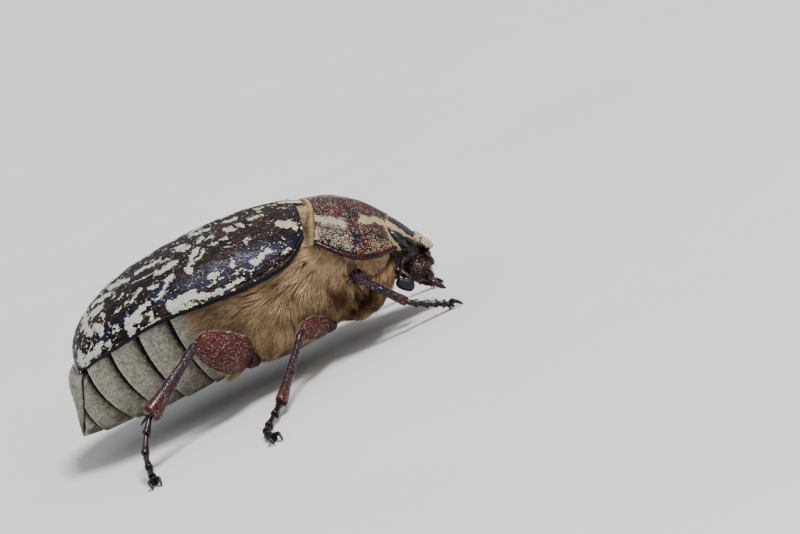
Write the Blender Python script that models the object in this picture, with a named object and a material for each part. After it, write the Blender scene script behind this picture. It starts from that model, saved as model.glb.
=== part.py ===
"""A female pine chafer (Polyphylla fullo) as a still, life-size model that stands on the floor.

The insect faces +X with its right side towards -Y. The floor is the plane z = 0, and the origin lies on it under
the middle of the insect. Sizes are in metres, written as millimetres times MM.
"""

import math
import random

import bmesh
import bpy
import numpy as np

MM = 0.001
GAP = 0.3 * MM  # clearance between neighbouring pieces
SHELL = 0.7 * MM  # thickness of the wing cases and of the pronotum
RIGHT, LEFT = -1, 1
SOLE = 0.09 * MM  # whatever reaches lower than this is pressed flat onto the floor
WELD = 0.0001 * MM  # points nearer than this are one point
SEED = 2

# Arched covers. A row is the x and z of the midline, then the x, half-width and z of the outer margin.
# Rows are evenly spaced along the cover, and surfaces run smoothly through them.
ELYTRON = np.array([
    (7.7, 13.60, 6.9, 5.80, 11.2),
    (5.4, 14.30, 5.0, 6.90, 10.0),
    (3.0, 14.62, 3.0, 7.50, 9.70),
    (0.4, 14.75, 0.4, 8.05, 9.75),
    (-2.3, 14.66, -2.6, 8.40, 9.95),
    (-5.0, 14.45, -5.4, 8.45, 10.2),
    (-7.8, 14.05, -8.2, 8.10, 10.2),
    (-10.6, 13.25, -10.8, 7.10, 9.70),
    (-13.0, 11.95, -12.8, 5.90, 9.25),
    (-14.6, 10.30, -14.2, 4.70, 8.80),
    (-15.25, 8.40, -14.8, 3.70, 8.50),
]) * MM
PRONOTUM = np.array([
    (9.1, 13.20, 7.5, 6.30, 10.5),
    (10.6, 12.82, 8.8, 6.95, 9.05),
    (12.0, 12.05, 10.4, 7.10, 7.75),
    (13.5, 10.85, 12.2, 6.10, 7.05),
    (14.9, 9.10, 14.0, 4.50, 6.75),
]) * MM
FRONT_NOTCH = 0.85 * MM  # how far the front margin draws back behind each eye
ARCH = 0.88  # exponent of the covers' cross-section: 1 is an ellipse, less is squarer

# Scutellum: the small shield between the bases of the wing cases.
SCUTELLUM_BASE, SCUTELLUM_TIP = 8.6 * MM, 5.8 * MM
SCUTELLUM_HALF = 1.75 * MM
SCUTELLUM_THICK = 0.6 * MM

# Trunk. A row is the x at the side and at the belly, the half-width and z of the side, and the z of back and belly.
ABDOMEN = np.array([
    (-3.3, -2.0, 7.00, 9.5, 13.2, 2.45),
    (-6.2, -4.7, 7.20, 9.8, 13.0, 2.25),
    (-9.2, -7.5, 6.75, 9.5, 12.3, 2.20),
    (-11.9, -9.8, 5.85, 9.0, 11.1, 2.20),
    (-14.3, -12.1, 4.60, 8.1, 9.2, 2.25),
    (-15.9, -15.1, 3.20, 6.0, 6.9, 2.40),
    (-16.5, -17.15, 1.20, 3.9, 4.7, 2.70),
]) * MM
BELLY_DROP, BELLY_ROUND = 0.95, 0.75  # exponents of the cross-section below the side
STERNITE_STEP = 0.38 * MM  # how far each sternite's hind edge stands over the next one
THORAX = np.array([
    (7.6, 6.9, 5.70, 10.4, 12.9, 2.50),
    (5.2, 4.7, 6.70, 9.30, 13.5, 2.10),
    (2.4, 2.4, 7.20, 8.90, 13.8, 1.95),
    (-0.4, 0.4, 7.50, 9.10, 13.9, 2.05),
    (-2.9, -1.6, 7.50, 9.40, 13.8, 2.30),
]) * MM
PROTHORAX = np.array([
    (13.3, 12.5, 3.50, 7.0, 8.20, 3.80),
    (12.2, 11.5, 5.20, 6.9, 9.80, 2.70),
    (10.8, 10.1, 6.30, 7.2, 11.2, 2.10),
    (9.4, 8.7, 6.30, 8.4, 12.1, 2.00),
    (8.2, 7.3, 5.80, 9.8, 12.6, 2.20),
]) * MM

# Long hair of the underside, as flat tapered locks that lie rearwards and down over a core.
COAT = 0.55 * MM  # how far the core lies inside the tables of the hairy trunk, which give the outline of the hair
LOCK_LENGTH = 3.3 * MM
LOCK_WIDE, LOCK_THICK = 0.80 * MM, 0.27 * MM  # half-width and half-thickness of a lock at its broadest
LOCK_SHAPE = (  # share of the length, height over the core as a share of COAT, size
    (0.00, -0.90, 0.80),
    (0.35, 0.40, 1.00),
    (0.72, 0.75, 0.75),
    (1.00, 0.95, 0.00),
)
LOCK_FALL = 0.50  # how much a lock turns down towards the belly for each unit that it runs rearwards
THORAX_LOCKS = (5, 5)  # rows along the trunk, and locks on each side in a row
PROTHORAX_LOCKS = (3, 4)

# Pygidium: rows from the top down, with x on the midline, x at the edge, half-width and z.
PYGIDIUM = np.array([
    (-15.95, -15.15, 4.1, 8.10),
    (-16.30, -15.50, 4.0, 7.45),
    (-16.50, -15.85, 3.5, 6.70),
    (-16.55, -16.10, 2.5, 5.90),
    (-16.50, -16.45, 0.6, 5.20),
]) * MM

# Head, in its own frame: d runs forward and down along the face, h out of the face, from HEAD_ORIGIN.
HEAD_ORIGIN = np.array((15.78, 0.0, 7.55)) * MM
HEAD_TILT = math.radians(-60)
HEAD = np.array([  # d, half-width, h of the face and of the throat
    (-2.5, 2.40, -0.60, -3.3),
    (-1.6, 2.95, -0.15, -4.1),
    (-0.5, 3.10, -0.02, -4.4),
    (0.6, 2.85, -0.04, -4.2),
    (1.4, 2.55, -0.15, -3.4),
    (2.0, 2.30, -0.35, -2.4),
]) * MM
CLYPEUS_FROM, CLYPEUS_TO = 1.1 * MM, 2.6 * MM
CLYPEUS_HALF = 2.45 * MM
CLYPEUS_THICK = 0.6 * MM
CLYPEUS_RIM = 0.50 * MM  # how far the front edge turns up
MOUTH = np.array([  # d, half-width, h of the front and of the back
    (2.0, 1.60, -0.95, -3.3),
    (2.6, 1.90, -0.50, -3.6),
    (3.2, 1.80, -0.35, -3.6),
    (3.8, 1.45, -0.80, -3.2),
    (4.2, 0.80, -1.50, -2.6),
]) * MM
EYE_AT = (-0.30 * MM, 2.72 * MM, -1.40 * MM)  # d, y, h
EYE_RADII = (1.00 * MM, 0.75 * MM, 0.85 * MM)
ANTENNA = np.array([(14.6, 2.95, 5.60), (14.1, 3.60, 5.45), (13.6, 3.85, 4.90), (13.2, 3.75, 4.35)]) * MM
ANTENNA_RADIUS = 0.26 * MM
CLUB = np.array([(13.15, 3.7, 4.35), (13.9, 3.7, 2.95)]) * MM
CLUB_RADII = (0.55 * MM, 0.48 * MM)
CLUB_LEAVES = 5
CLUB_GROOVE = 0.16  # depth of the grooves between the leaves, as a share of the radius
PALP = np.array([(15.6, 1.3, 3.0), (15.9, 1.75, 2.3), (16.3, 1.8, 1.7), (16.8, 1.7, 1.2)]) * MM
PALP_RADII = (0.36 * MM, 0.20 * MM)  # at the root and near the tip

# Legs. Points are given for the outward side: where the femur leaves the body, its middle, knee, ankle and toes.
LEGS = {
    "front_right": [(10.6, 4.3, 4.9), (9.9, 5.6, 6.1), (9.3, 6.4, 6.65), (12.8, 5.6, 2.35),
                    (14.2, 5.2, 1.45), (15.4, 5.0, 0.90), (16.2, 4.9, 0.42)],
    "front_left": [(10.8, 4.3, 4.8), (10.9, 5.7, 5.6), (10.8, 6.8, 5.8), (14.4, 7.0, 2.6),
                   (15.4, 6.9, 1.50), (16.2, 6.7, 0.80), (16.8, 6.5, 0.42)],
    "middle_right": [(5.9, 4.0, 3.1), (4.7, 6.3, 3.9), (3.4, 8.0, 4.5), (-1.0, 14.0, 0.95),
                     (-2.6, 16.8, 0.45), (-3.2, 19.2, 0.42), (-2.9, 21.4, 0.42)],
    "middle_left": [(6.0, 4.0, 3.1), (7.2, 6.1, 4.0), (8.4, 7.8, 4.6), (9.3, 14.2, 0.95),
                    (10.4, 16.9, 0.45), (11.5, 19.0, 0.42), (12.9, 20.7, 0.42)],
    "hind_right": [(-1.3, 5.0, 3.8), (-2.8, 7.4, 5.5), (-5.0, 9.1, 7.6), (-11.1, 12.3, 4.3),
                   (-12.6, 14.3, 2.4), (-12.9, 16.2, 0.9), (-12.9, 17.6, 0.42)],
    "hind_left": [(-1.3, 5.0, 3.8), (-2.6, 7.4, 5.3), (-4.6, 9.1, 7.3), (-10.4, 13.2, 3.6),
                  (-12.2, 15.2, 1.7), (-13.0, 16.8, 0.6), (-13.6, 18.2, 0.42)],
}
FEMUR_WIDE = {"front": 0.85 * MM, "middle": 1.00 * MM, "hind": 1.50 * MM}
FEMUR_THICK = {"front": 0.60 * MM, "middle": 0.65 * MM, "hind": 0.85 * MM}
TIBIA_KNEE = 0.36 * MM
TIBIA_ANKLE = {"front": 0.36 * MM, "middle": 0.42 * MM, "hind": 0.66 * MM}
TARSUS_THIN, TARSUS_THICK = 0.25 * MM, 0.36 * MM
TARSOMERES = 5
CLAW = 0.95 * MM
SPUR = 1.3 * MM
TOOTH = 0.75 * MM

COLOURS = {  # base colour, roughness
    "elytron": ((0.085, 0.035, 0.025), 0.32),
    "pronotum": ((0.13, 0.020, 0.018), 0.35),
    "head": ((0.045, 0.022, 0.020), 0.35),
    "eye": ((0.012, 0.014, 0.022), 0.12),
    "abdomen": ((0.42, 0.38, 0.29), 0.80),
    "hair": ((0.45, 0.29, 0.13), 0.85),
    "leg": ((0.17, 0.028, 0.018), 0.30),
    "foot": ((0.035, 0.015, 0.014), 0.28),
}


def clear_scene():
    for obj in list(bpy.data.objects):
        bpy.data.objects.remove(obj, do_unlink=True)


def material(name):
    """The named colour as a material, made once."""
    found = bpy.data.materials.get(name)
    if found:
        return found
    colour, roughness = COLOURS[name]
    made = bpy.data.materials.new(name)
    made.use_nodes = True
    shader = made.node_tree.nodes["Principled BSDF"]
    shader.inputs["Base Color"].default_value = (*colour, 1.0)
    shader.inputs["Roughness"].default_value = roughness
    shader.inputs["Metallic"].default_value = 0.0
    return made


def add_object(name, points, faces, colour):
    """A closed mesh object with its faces pointing out, shaded smooth."""
    mesh = bpy.data.meshes.new(name)
    mesh.from_pydata([tuple(p) for p in points], [], faces)
    shape = bmesh.new()
    shape.from_mesh(mesh)
    bmesh.ops.recalc_face_normals(shape, faces=shape.faces)
    if shape.calc_volume(signed=True) < 0:
        bmesh.ops.reverse_faces(shape, faces=shape.faces)
    shape.to_mesh(mesh)
    shape.free()
    mesh.shade_smooth()
    mesh.materials.append(material(colour))
    obj = bpy.data.objects.new(name, mesh)
    bpy.context.scene.collection.objects.link(obj)
    return obj


def unit(v):
    return v / np.linalg.norm(v)


def along(rows, s):
    """The row at s, from 0 to 1, on a smooth curve through evenly spaced rows."""
    last = len(rows) - 1
    k = min(int(s * last), last - 1)
    f = s * last - k
    a, b, c, d = (rows[min(max(k + i, 0), last)] for i in (-1, 0, 1, 2))
    return b + 0.5 * f * (c - a + f * (2 * a - 5 * b + 4 * c - d + f * (3 * (b - c) + d - a)))


def power(value, exponent):
    """A signed power, for superellipses."""
    return math.copysign(abs(value) ** exponent, value)


def over_rings(rings):
    """Points and triangles of the closed surface over rings of equal length, with a fan at each end."""
    n = len(rings[0])
    points = [p for ring in rings for p in ring]
    faces = []
    for k in range(len(rings) - 1):
        for i in range(n):
            a, b = k * n + i, k * n + (i + 1) % n
            faces += [(a, b, b + n), (a, b + n, a + n)]
    for k in (0, len(rings) - 1):
        points.append(np.mean(rings[k], axis=0))
        faces += [(k * n + i, k * n + (i + 1) % n, len(points) - 1) for i in range(n)]
    return points, faces


def tube(path, radii, sides, wide):
    """Points and triangles of a tube. radii holds one pair for each point: along `wide`, and across it."""
    rings = []
    for k, centre in enumerate(path):
        forward = unit(path[min(k + 1, len(path) - 1)] - path[max(k - 1, 0)])
        first = unit(wide - forward * (wide @ forward))
        second = np.cross(forward, first)
        turns = [2 * math.pi * i / sides for i in range(sides)]
        rings.append([
            centre + first * radii[k][0] * math.cos(a) + second * radii[k][1] * math.sin(a) for a in turns
        ])
    return over_rings(rings)


def spike(root, tip, radius, sides=5):
    """Points and triangles of a thin cone."""
    forward = unit(tip - root)
    first = unit(np.cross(forward, (0.3, 0.2, 0.9)))
    second = np.cross(forward, first)
    turns = [2 * math.pi * i / sides for i in range(sides)]
    points = [root + radius * (first * math.cos(a) + second * math.sin(a)) for a in turns] + [tip]
    faces = [(i, (i + 1) % sides, sides) for i in range(sides)]
    return points, faces + [(0, i + 1, i) for i in range(1, sides - 1)]


def shell(grid, thickness):
    """Points and triangles of a closed shell whose outer face is the grid of points."""
    grid = np.array(grid)
    rows, columns = grid.shape[:2]
    down = np.gradient(grid, axis=0)
    across = np.gradient(grid, axis=1)
    normal = np.cross(down, across)
    normal /= np.linalg.norm(normal, axis=2, keepdims=True)
    if normal[rows // 2, columns // 2, 2] < 0:
        normal = -normal
    inner = grid - normal * thickness
    points = [*grid.reshape(-1, 3), *inner.reshape(-1, 3)]
    half = rows * columns
    faces = []
    for i in range(rows - 1):
        for j in range(columns - 1):
            a, b, c, d = (x * columns + y for x, y in ((i, j), (i, j + 1), (i + 1, j + 1), (i + 1, j)))
            faces += [(a, b, c), (a, c, d), (a + half, c + half, b + half), (a + half, d + half, c + half)]
    rim = [(0, j) for j in range(columns)] + [(i, columns - 1) for i in range(1, rows)]
    rim += [(rows - 1, j) for j in range(columns - 2, -1, -1)] + [(i, 0) for i in range(rows - 2, 0, -1)]
    rim = [i * columns + j for i, j in rim]
    for a, b in zip(rim, rim[1:] + rim[:1]):
        faces += [(a, a + half, b + half), (a, b + half, b)]
    return points, faces


def evaluated_mesh(obj):
    bpy.context.view_layer.update()
    graph = bpy.context.evaluated_depsgraph_get()
    return bpy.data.meshes.new_from_object(obj.evaluated_get(graph))


def keep_largest(obj):
    """Drops every closed surface of the mesh but the largest, which also fills sealed hollows."""
    shape = bmesh.new()
    shape.from_mesh(obj.data)
    bmesh.ops.remove_doubles(shape, verts=shape.verts, dist=WELD)
    bmesh.ops.dissolve_degenerate(shape, edges=shape.edges, dist=WELD)
    surfaces, seen = [], set()
    for start in shape.faces:
        if start in seen:
            continue
        surface, todo = [], [start]
        seen.add(start)
        while todo:
            face = todo.pop()
            surface.append(face)
            for edge in face.edges:
                for other in edge.link_faces:
                    if len(edge.link_faces) == 2 and other not in seen:
                        seen.add(other)
                        todo.append(other)
        surfaces.append(surface)
    surfaces.sort(key=len)
    scraps = [face for surface in surfaces[:-1] for face in surface]
    bmesh.ops.delete(shape, geom=scraps, context="FACES")
    shape.to_mesh(obj.data)
    shape.free()


def boolean(obj, others, operation):
    """Joins the other objects to obj, or cuts them from it, and removes them."""
    if not others:
        return
    group = bpy.data.collections.new("operands")
    for other in others:
        bpy.context.scene.collection.objects.unlink(other)
        group.objects.link(other)
    modifier = obj.modifiers.new("boolean", "BOOLEAN")
    modifier.operand_type = "COLLECTION"
    modifier.collection = group
    modifier.operation = operation
    modifier.solver = "MANIFOLD"
    made = evaluated_mesh(obj)
    obj.modifiers.clear()
    obj.data = made
    for other in others:
        bpy.data.objects.remove(other, do_unlink=True)
    bpy.data.collections.remove(group)
    keep_largest(obj)


def fuse(obj, pieces):
    """Joins pieces, given as points and triangles, to obj."""
    colour = obj.data.materials[0].name
    boolean(obj, [add_object("piece", *piece, colour) for piece in pieces], "UNION")


def clear_of(obj, *neighbours):
    """Cuts obj back so that it keeps the gap to each neighbour."""
    cutters = []
    for neighbour in neighbours:
        cutter = neighbour.copy()
        cutter.data = neighbour.data.copy()
        bpy.context.scene.collection.objects.link(cutter)
        normals = [v.normal.copy() for v in cutter.data.vertices]
        for vertex, normal in zip(cutter.data.vertices, normals):
            vertex.co += normal * GAP
        cutters.append(cutter)
    boolean(obj, cutters, "DIFFERENCE")


def settle(obj):
    """Presses the lowest points flat onto the floor."""
    for vertex in obj.data.vertices:
        if vertex.co.z < SOLE:
            vertex.co.z = 0.0


def arch_point(rows, s, t, start=0.0):
    """A point of an arched cover: s from its first row to its last, t from the midline to the margin."""
    x_mid, z_mid, x_edge, half, z_edge = along(rows, s)
    turn = abs(t) * math.pi / 2
    out, up = math.sin(turn) ** ARCH, max(math.cos(turn), 0.0) ** ARCH
    y = start + (half - start) * out
    return np.array((x_mid + (x_edge - x_mid) * (1 - up), math.copysign(y, t), z_edge + (z_mid - z_edge) * up))


def suture_at(x):
    """Distance of a wing case's inner edge from the midline: half a gap, wider round the scutellum."""
    reach = (x - SCUTELLUM_TIP) / (SCUTELLUM_BASE - SCUTELLUM_TIP)
    return GAP / 2 + max(0.0, min(reach, 1.0)) ** 0.7 * (SCUTELLUM_HALF + GAP / 2)


def build_elytron(side, name):
    rows, columns = 15, 10
    grid = [[
        arch_point(ELYTRON, i / rows, j / columns, suture_at(along(ELYTRON, i / rows)[0])) * (1, side, 1)
        for j in range(columns + 1)] for i in range(rows + 1)]
    return add_object(name, *shell(grid, SHELL), "elytron")


def front_notch(s, t):
    """How far the pronotum's front margin draws back at t."""
    return FRONT_NOTCH * s ** 4 * math.sin(math.pi * abs(t)) ** 1.2


def build_pronotum():
    rows, columns = 8, 10
    grid = [[arch_point(PRONOTUM, i / rows, j / columns) - (front_notch(i / rows, j / columns), 0, 0)
             for j in range(-columns, columns + 1)] for i in range(rows + 1)]
    return add_object("pronotum", *shell(grid, SHELL), "pronotum")


def build_scutellum():
    """A rounded triangle that lies level with the wing cases beside it."""
    rows, columns = 6, 3
    grid = []
    for i in range(rows + 1):
        share = i / rows
        x = SCUTELLUM_BASE + (SCUTELLUM_TIP + 0.25 * MM - SCUTELLUM_BASE) * share
        half = SCUTELLUM_HALF * (1 - share) ** 0.7 + 0.15 * MM * share
        top = 13.35 * MM + 0.95 * MM * share ** 0.8
        grid.append([
            np.array((x, half * j / columns, top - 0.35 * MM * (half * j / columns / SCUTELLUM_HALF) ** 2))
            for j in range(-columns, columns + 1)])
    return add_object("scutellum", *shell(grid, SCUTELLUM_THICK), "pronotum")


def trunk_point(row, turn, inset):
    """A point of the trunk at one row of its table; turn 0 is the left side, and a quarter turn is the back."""
    x_side, x_belly, half, z_side, z_back, z_belly = row
    across, up = math.cos(turn), math.sin(turn)
    if up >= 0:
        y = (half - inset) * power(across, ARCH)
        return np.array((x_side, y, z_side + (z_back - inset - z_side) * power(up, ARCH)))
    depth = power(-up, BELLY_DROP)
    y = (half - inset) * power(across, BELLY_ROUND)
    z = z_side - (z_side - z_belly - inset) * depth
    return np.array((x_side + (x_belly - x_side) * depth ** 2, y, z))


def trunk_ring(row, sides, inset=0.0):
    return [trunk_point(row, 2 * math.pi * i / sides, inset) for i in range(sides)]


def build_abdomen():
    """Seven segments, each a little wider at its hind edge than the start of the next."""
    sides, count = 24, len(ABDOMEN) - 1
    rings = []
    for k in range(count):
        for share, inset in ((0.03, STERNITE_STEP), (0.97, 0.0)):
            rings.append(trunk_ring(along(ABDOMEN, (k + share) / count), sides, inset))
    return add_object("abdomen", *over_rings(rings), "abdomen")


def lock(rows, s, turn, side, size):
    """Points and triangles of one flat lock, rooted in the core at s and turn, that follows the trunk's surface."""
    length = np.linalg.norm(trunk_point(rows[-1], turn, COAT) - trunk_point(rows[0], turn, COAT))
    stations = []
    for share, height, girth in LOCK_SHAPE:
        run = size * LOCK_LENGTH * share
        at = min(s + run / length, 1.0)
        around = turn - side * run * LOCK_FALL / along(rows, at)[2]
        base = trunk_point(along(rows, at), around, COAT)
        nearby = trunk_point(along(rows, at), around + 0.05, COAT) - base
        ahead = base - trunk_point(along(rows, max(at - 0.05, 0.0)), around, COAT)
        normal = unit(np.cross(ahead, nearby))
        over = max(s + run / length - 1.0, 0.0) * length
        stations.append((base + normal * height * COAT - over * np.array((1.0, 0.0, 0.25)), unit(nearby), girth))
    path = [station[0] for station in stations]
    radii = [(LOCK_WIDE * size * station[2], LOCK_THICK * station[2]) for station in stations[:-1]]
    points, faces = tube(path[:-1], radii, 4, stations[1][1])
    points[-1] = path[-1]
    return points, faces


def build_hairy(name, rows, locks, first, chance):
    """A core of the trunk with locks in staggered rows over its sides and belly, from the share `first` rearwards."""
    sides, steps = 20, 7
    rings = [trunk_ring(along(rows, i / steps), sides, COAT) for i in range(steps + 1)]
    core = add_object(name, *over_rings(rings), "hair")
    pieces = []
    for k in range(locks[0]):
        s = first + (1 - first) * (k + 0.1) / locks[0]
        for side in (RIGHT, LEFT):
            for j in range(locks[1]):
                down = 1.62 * (j + 0.5 * (k % 2) + chance.uniform(-0.15, 0.15)) / locks[1] - 0.12
                turn = -down if side == LEFT else math.pi + down
                pieces.append(lock(rows, s + chance.uniform(-0.02, 0.02), turn, side, chance.uniform(0.85, 1.15)))
    fuse(core, pieces)
    return core


def build_pygidium():
    rows, columns = 6, 4
    grid = []
    for i in range(rows + 1):
        x_mid, x_edge, half, z = along(PYGIDIUM, i / rows)
        grid.append([
            np.array((x_mid + (x_edge - x_mid) * (j / columns) ** 2, half * j / columns, z))
            for j in range(-columns, columns + 1)])
    return add_object("pygidium", *shell_facing(grid, 0.6 * MM, (-1, 0, 0.3)), "abdomen")


def shell_facing(grid, thickness, outward):
    """A shell whose outer face looks towards `outward`, for a grid that stands upright."""
    points, faces = shell(grid, thickness)
    half = len(points) // 2
    offset = np.mean([points[k] - points[k + half] for k in range(half)], axis=0)
    if offset @ np.array(outward) < 0:
        points[half:] = [2 * points[k] - points[k + half] for k in range(half)]
    return points, faces


def head_point(d, y, h):
    """A point of the head's own frame in the model's frame."""
    c, s = math.cos(HEAD_TILT), math.sin(HEAD_TILT)
    return HEAD_ORIGIN + np.array((d * c - h * s, y, d * s + h * c))


def head_ring(d, half, top, bottom, sides, square=0.8):
    middle, reach = (top + bottom) / 2, (top - bottom) / 2
    turns = [2 * math.pi * i / sides for i in range(sides)]
    return [head_point(d, half * power(math.cos(a), square), middle + reach * power(math.sin(a), square))
            for a in turns]


def build_head():
    """The capsule with the clypeus, a broad plate whose front edge turns up, fused to it."""
    sides, steps = 20, 8
    rings = [head_ring(*along(HEAD, i / steps), sides) for i in range(steps + 1)]
    head = add_object("head", *over_rings(rings), "head")
    plate = []
    for share in (0.0, 0.5, 0.85, 1.0):
        d = CLYPEUS_FROM + (CLYPEUS_TO - CLYPEUS_FROM) * share
        rise = CLYPEUS_RIM * share ** 3
        plate.append(head_ring(d, CLYPEUS_HALF * (1 - 0.06 * share), rise, rise - CLYPEUS_THICK, 16, 0.35))
    fuse(head, [over_rings(plate)])
    return head


def build_mouth():
    """Labrum, mandibles and maxillae as one rounded block under the clypeus."""
    steps = 6
    rings = [head_ring(*along(MOUTH, i / steps), 14) for i in range(steps + 1)]
    return add_object("mouthparts", *over_rings(rings), "head")


def build_eye(side, name):
    """A smooth oval dome on the side of the head."""
    steps, sides = 7, 12
    d, y, h = EYE_AT
    rings = []
    for k in range(1, steps):
        a = math.pi * k / steps
        rings.append([
            head_point(d + EYE_RADII[0] * math.sin(a) * math.cos(b), side * (y - EYE_RADII[1] * math.cos(a)),
                       h + EYE_RADII[2] * math.sin(a) * math.sin(b))
            for b in (2 * math.pi * i / sides for i in range(sides))])
    return add_object(name, *over_rings(rings), "eye")


def build_antenna(side, name):
    """Scape and funicle as one thin bent stalk, and the short club of grooved leaves."""
    mirror = np.array((1, side, 1))
    steps = 7
    stalk = [along(ANTENNA, i / steps) * mirror for i in range(steps + 1)]
    radii = [(ANTENNA_RADIUS * (1.15 if i in (0, 3, 5) else 1.0),) * 2 for i in range(steps + 1)]
    antenna = add_object(name, *tube(stalk, radii, 6, np.array((0.0, 1.0, 0.0))), "foot")
    start, end = CLUB * mirror
    sides, rings = 4 * CLUB_LEAVES, []
    forward, first = unit(end - start), np.array((0.0, 1.0, 0.0))
    second = unit(np.cross(forward, first))
    for share, size in ((0.0, 0.45), (0.15, 0.8), (0.45, 1.0), (0.75, 0.95), (0.95, 0.6)):
        ring = []
        for i in range(sides):
            a = 2 * math.pi * i / sides
            groove = 1 - CLUB_GROOVE * (i % 2)
            ring.append(start + (end - start) * share + size * groove * (
                first * CLUB_RADII[1] * math.cos(a) + second * CLUB_RADII[0] * math.sin(a)))
        rings.append(ring)
    fuse(antenna, [over_rings(rings)])
    return antenna


def build_palp(side, name):
    steps = 6
    path = [along(PALP, i / steps) * (1, side, 1) for i in range(steps + 1)]
    radii = [(PALP_RADII[0] + (PALP_RADII[1] - PALP_RADII[0]) * i / steps,) * 2 for i in range(steps + 1)]
    return add_object(name, *tube(path, radii, 6, np.array((0.0, 1.0, 0.0))), "leg")


def build_femur(name, pair, hip, middle, knee):
    """A flattened spindle, broad in the middle, that faces sideways."""
    steps, rows = 7, np.array([hip, middle, knee])
    path = [along(rows, i / steps) for i in range(steps + 1)]
    wide = unit(np.cross(knee - hip, (0.0, 1.0, 0.0)))
    radii = []
    for i in range(steps + 1):
        swell = math.sin(math.pi * (0.15 + 0.73 * i / steps)) ** 0.9
        radii.append((FEMUR_WIDE[pair] * swell, FEMUR_THICK[pair] * max(swell, 0.55)))
    return add_object(name, *tube(path, radii, 10, wide), "leg")


def build_tibia(name, pair, knee, ankle, side):
    """A straight shin that widens to its end, with teeth on a front leg and spurs on the others."""
    axis = unit(ankle - knee)
    start, end = knee + axis * 0.45 * MM, ankle - axis * GAP
    wide = unit(np.cross(axis, np.cross((0.0, 0.0, 1.0), axis)))
    stations = [(0.0, 0.85), (0.12, 1.0), (0.3, 0.9), (0.7, 1.05), (0.92, 1.3), (1.0, 1.15)]
    path, radii = [], []
    for share, size in stations:
        path.append(start + (end - start) * share)
        radius = TIBIA_KNEE + (TIBIA_ANKLE[pair] - TIBIA_KNEE) * share
        radii.append((radius * size, radius * size * 0.85))
    tibia = add_object(name, *tube(path, radii, 8, wide), "leg")
    outward = unit(np.cross(axis, wide)) * side
    if outward[1] * side < 0:
        outward = -outward
    pieces = []
    if pair == "front":
        for share in (0.45, 0.70, 0.93):
            root = start + (end - start) * share
            pieces.append(spike(root, root + (outward * 0.9 + axis * 0.75) * TOOTH * (0.7 + share / 2), 0.26 * MM))
    else:
        radius = TIBIA_ANKLE[pair]
        for k, lean in enumerate((-0.55, 0.05)):
            root = end - axis * 0.3 * MM - outward * radius * 0.4
            aim = unit(axis * 0.75 - wide * (0.6 + lean) - outward * 0.35)
            pieces.append(spike(root, root + aim * SPUR * (1 - 0.2 * k), 0.24 * MM))
        middle = start + (end - start) * 0.55
        pieces.append(spike(middle, middle + (outward * 0.8 + axis * 0.6) * TOOTH, 0.24 * MM))
    fuse(tibia, pieces)
    return tibia


def build_tarsus(name, ankle, toes, side):
    """Five joints that each widen to their end, two hooked claws, and flats where they touch the floor."""
    rows = np.array([ankle, *toes])
    start = GAP / 2 / np.linalg.norm(rows[1:] - rows[:-1], axis=1).sum()
    path, radii = [], []
    for k in range(TARSOMERES):
        for share, size in ((0.05, 0.0), (0.92, 1.0)):
            path.append(along(rows, start + (1 - start) * (k + share) / TARSOMERES))
            radius = TARSUS_THIN + (TARSUS_THICK - TARSUS_THIN) * size
            radii.append((radius, radius))
    tarsus = add_object(name, *tube(path, radii, 6, np.array((0.0, 0.0, 1.0))), "foot")
    heading = unit((path[-1] - path[-3]) * (1, 1, 0))
    across = np.cross(heading, (0.0, 0.0, 1.0))
    hooks = []
    for turn in (-1, 1):
        root = path[-1] - heading * 0.2 * MM
        bend = root + heading * CLAW * 0.50 + across * turn * CLAW * 0.52 + np.array((0, 0, 0.10 * MM))
        tip = root + heading * CLAW * 1.15 + across * turn * CLAW * 0.40
        tip[2] = 0.05 * MM
        curve = np.array([root, bend, tip])
        hook = [along(curve, share) for share in (0.0, 0.5, 0.85)]
        points, faces = tube(hook, [(0.25 * MM * f,) * 2 for f in (1.0, 0.9, 0.55)], 5, np.array((0.0, 0.0, 1.0)))
        points[-1] = tip
        hooks.append((points, faces))
    fuse(tarsus, hooks)
    settle(tarsus)
    return tarsus


def build_leg(label):
    """The three nodes of one leg."""
    pair, side = label.split("_")[0], LEFT if label.endswith("left") else RIGHT
    hip, middle, knee, ankle, *toes = np.array(LEGS[label]) * MM * (1, side, 1)
    return {
        "femur": build_femur(f"leg_{label}_femur", pair, hip, middle, knee),
        "tibia": build_tibia(f"leg_{label}_tibia", pair, knee, ankle, side),
        "tarsus": build_tarsus(f"leg_{label}_tarsus", ankle, toes, side),
    }


def build():
    clear_scene()
    legs = {label: build_leg(label) for label in LEGS}
    for leg in legs.values():
        clear_of(leg["tibia"], leg["femur"], leg["tarsus"])
    elytra = [build_elytron(RIGHT, "elytron_right"), build_elytron(LEFT, "elytron_left")]
    scutellum = build_scutellum()
    pronotum = build_pronotum()
    pygidium = build_pygidium()
    head, mouth = build_head(), build_mouth()
    eyes = [build_eye(RIGHT, "eye_right"), build_eye(LEFT, "eye_left")]
    antennae = [build_antenna(RIGHT, "antenna_right"), build_antenna(LEFT, "antenna_left")]
    palps = [build_palp(RIGHT, "palp_right"), build_palp(LEFT, "palp_left")]
    clear_of(head, *eyes, *antennae, mouth, pronotum)
    clear_of(mouth, *palps)
    chance = random.Random(SEED)
    abdomen = build_abdomen()
    thorax = build_hairy("thorax", THORAX, THORAX_LOCKS, 0.06, chance)
    prothorax = build_hairy("prothorax", PROTHORAX, PROTHORAX_LOCKS, 0.10, chance)
    femora = {label: leg["femur"] for label, leg in legs.items()}
    clear_of(abdomen, pygidium, femora["hind_right"], femora["hind_left"], *elytra)
    clear_of(thorax, *[f for label, f in femora.items() if not label.startswith("front")], abdomen, scutellum, *elytra)
    clear_of(prothorax, *[f for label, f in femora.items() if not label.startswith("hind")], thorax)
    clear_of(prothorax, head, pronotum, mouth, *antennae)


build()
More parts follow.
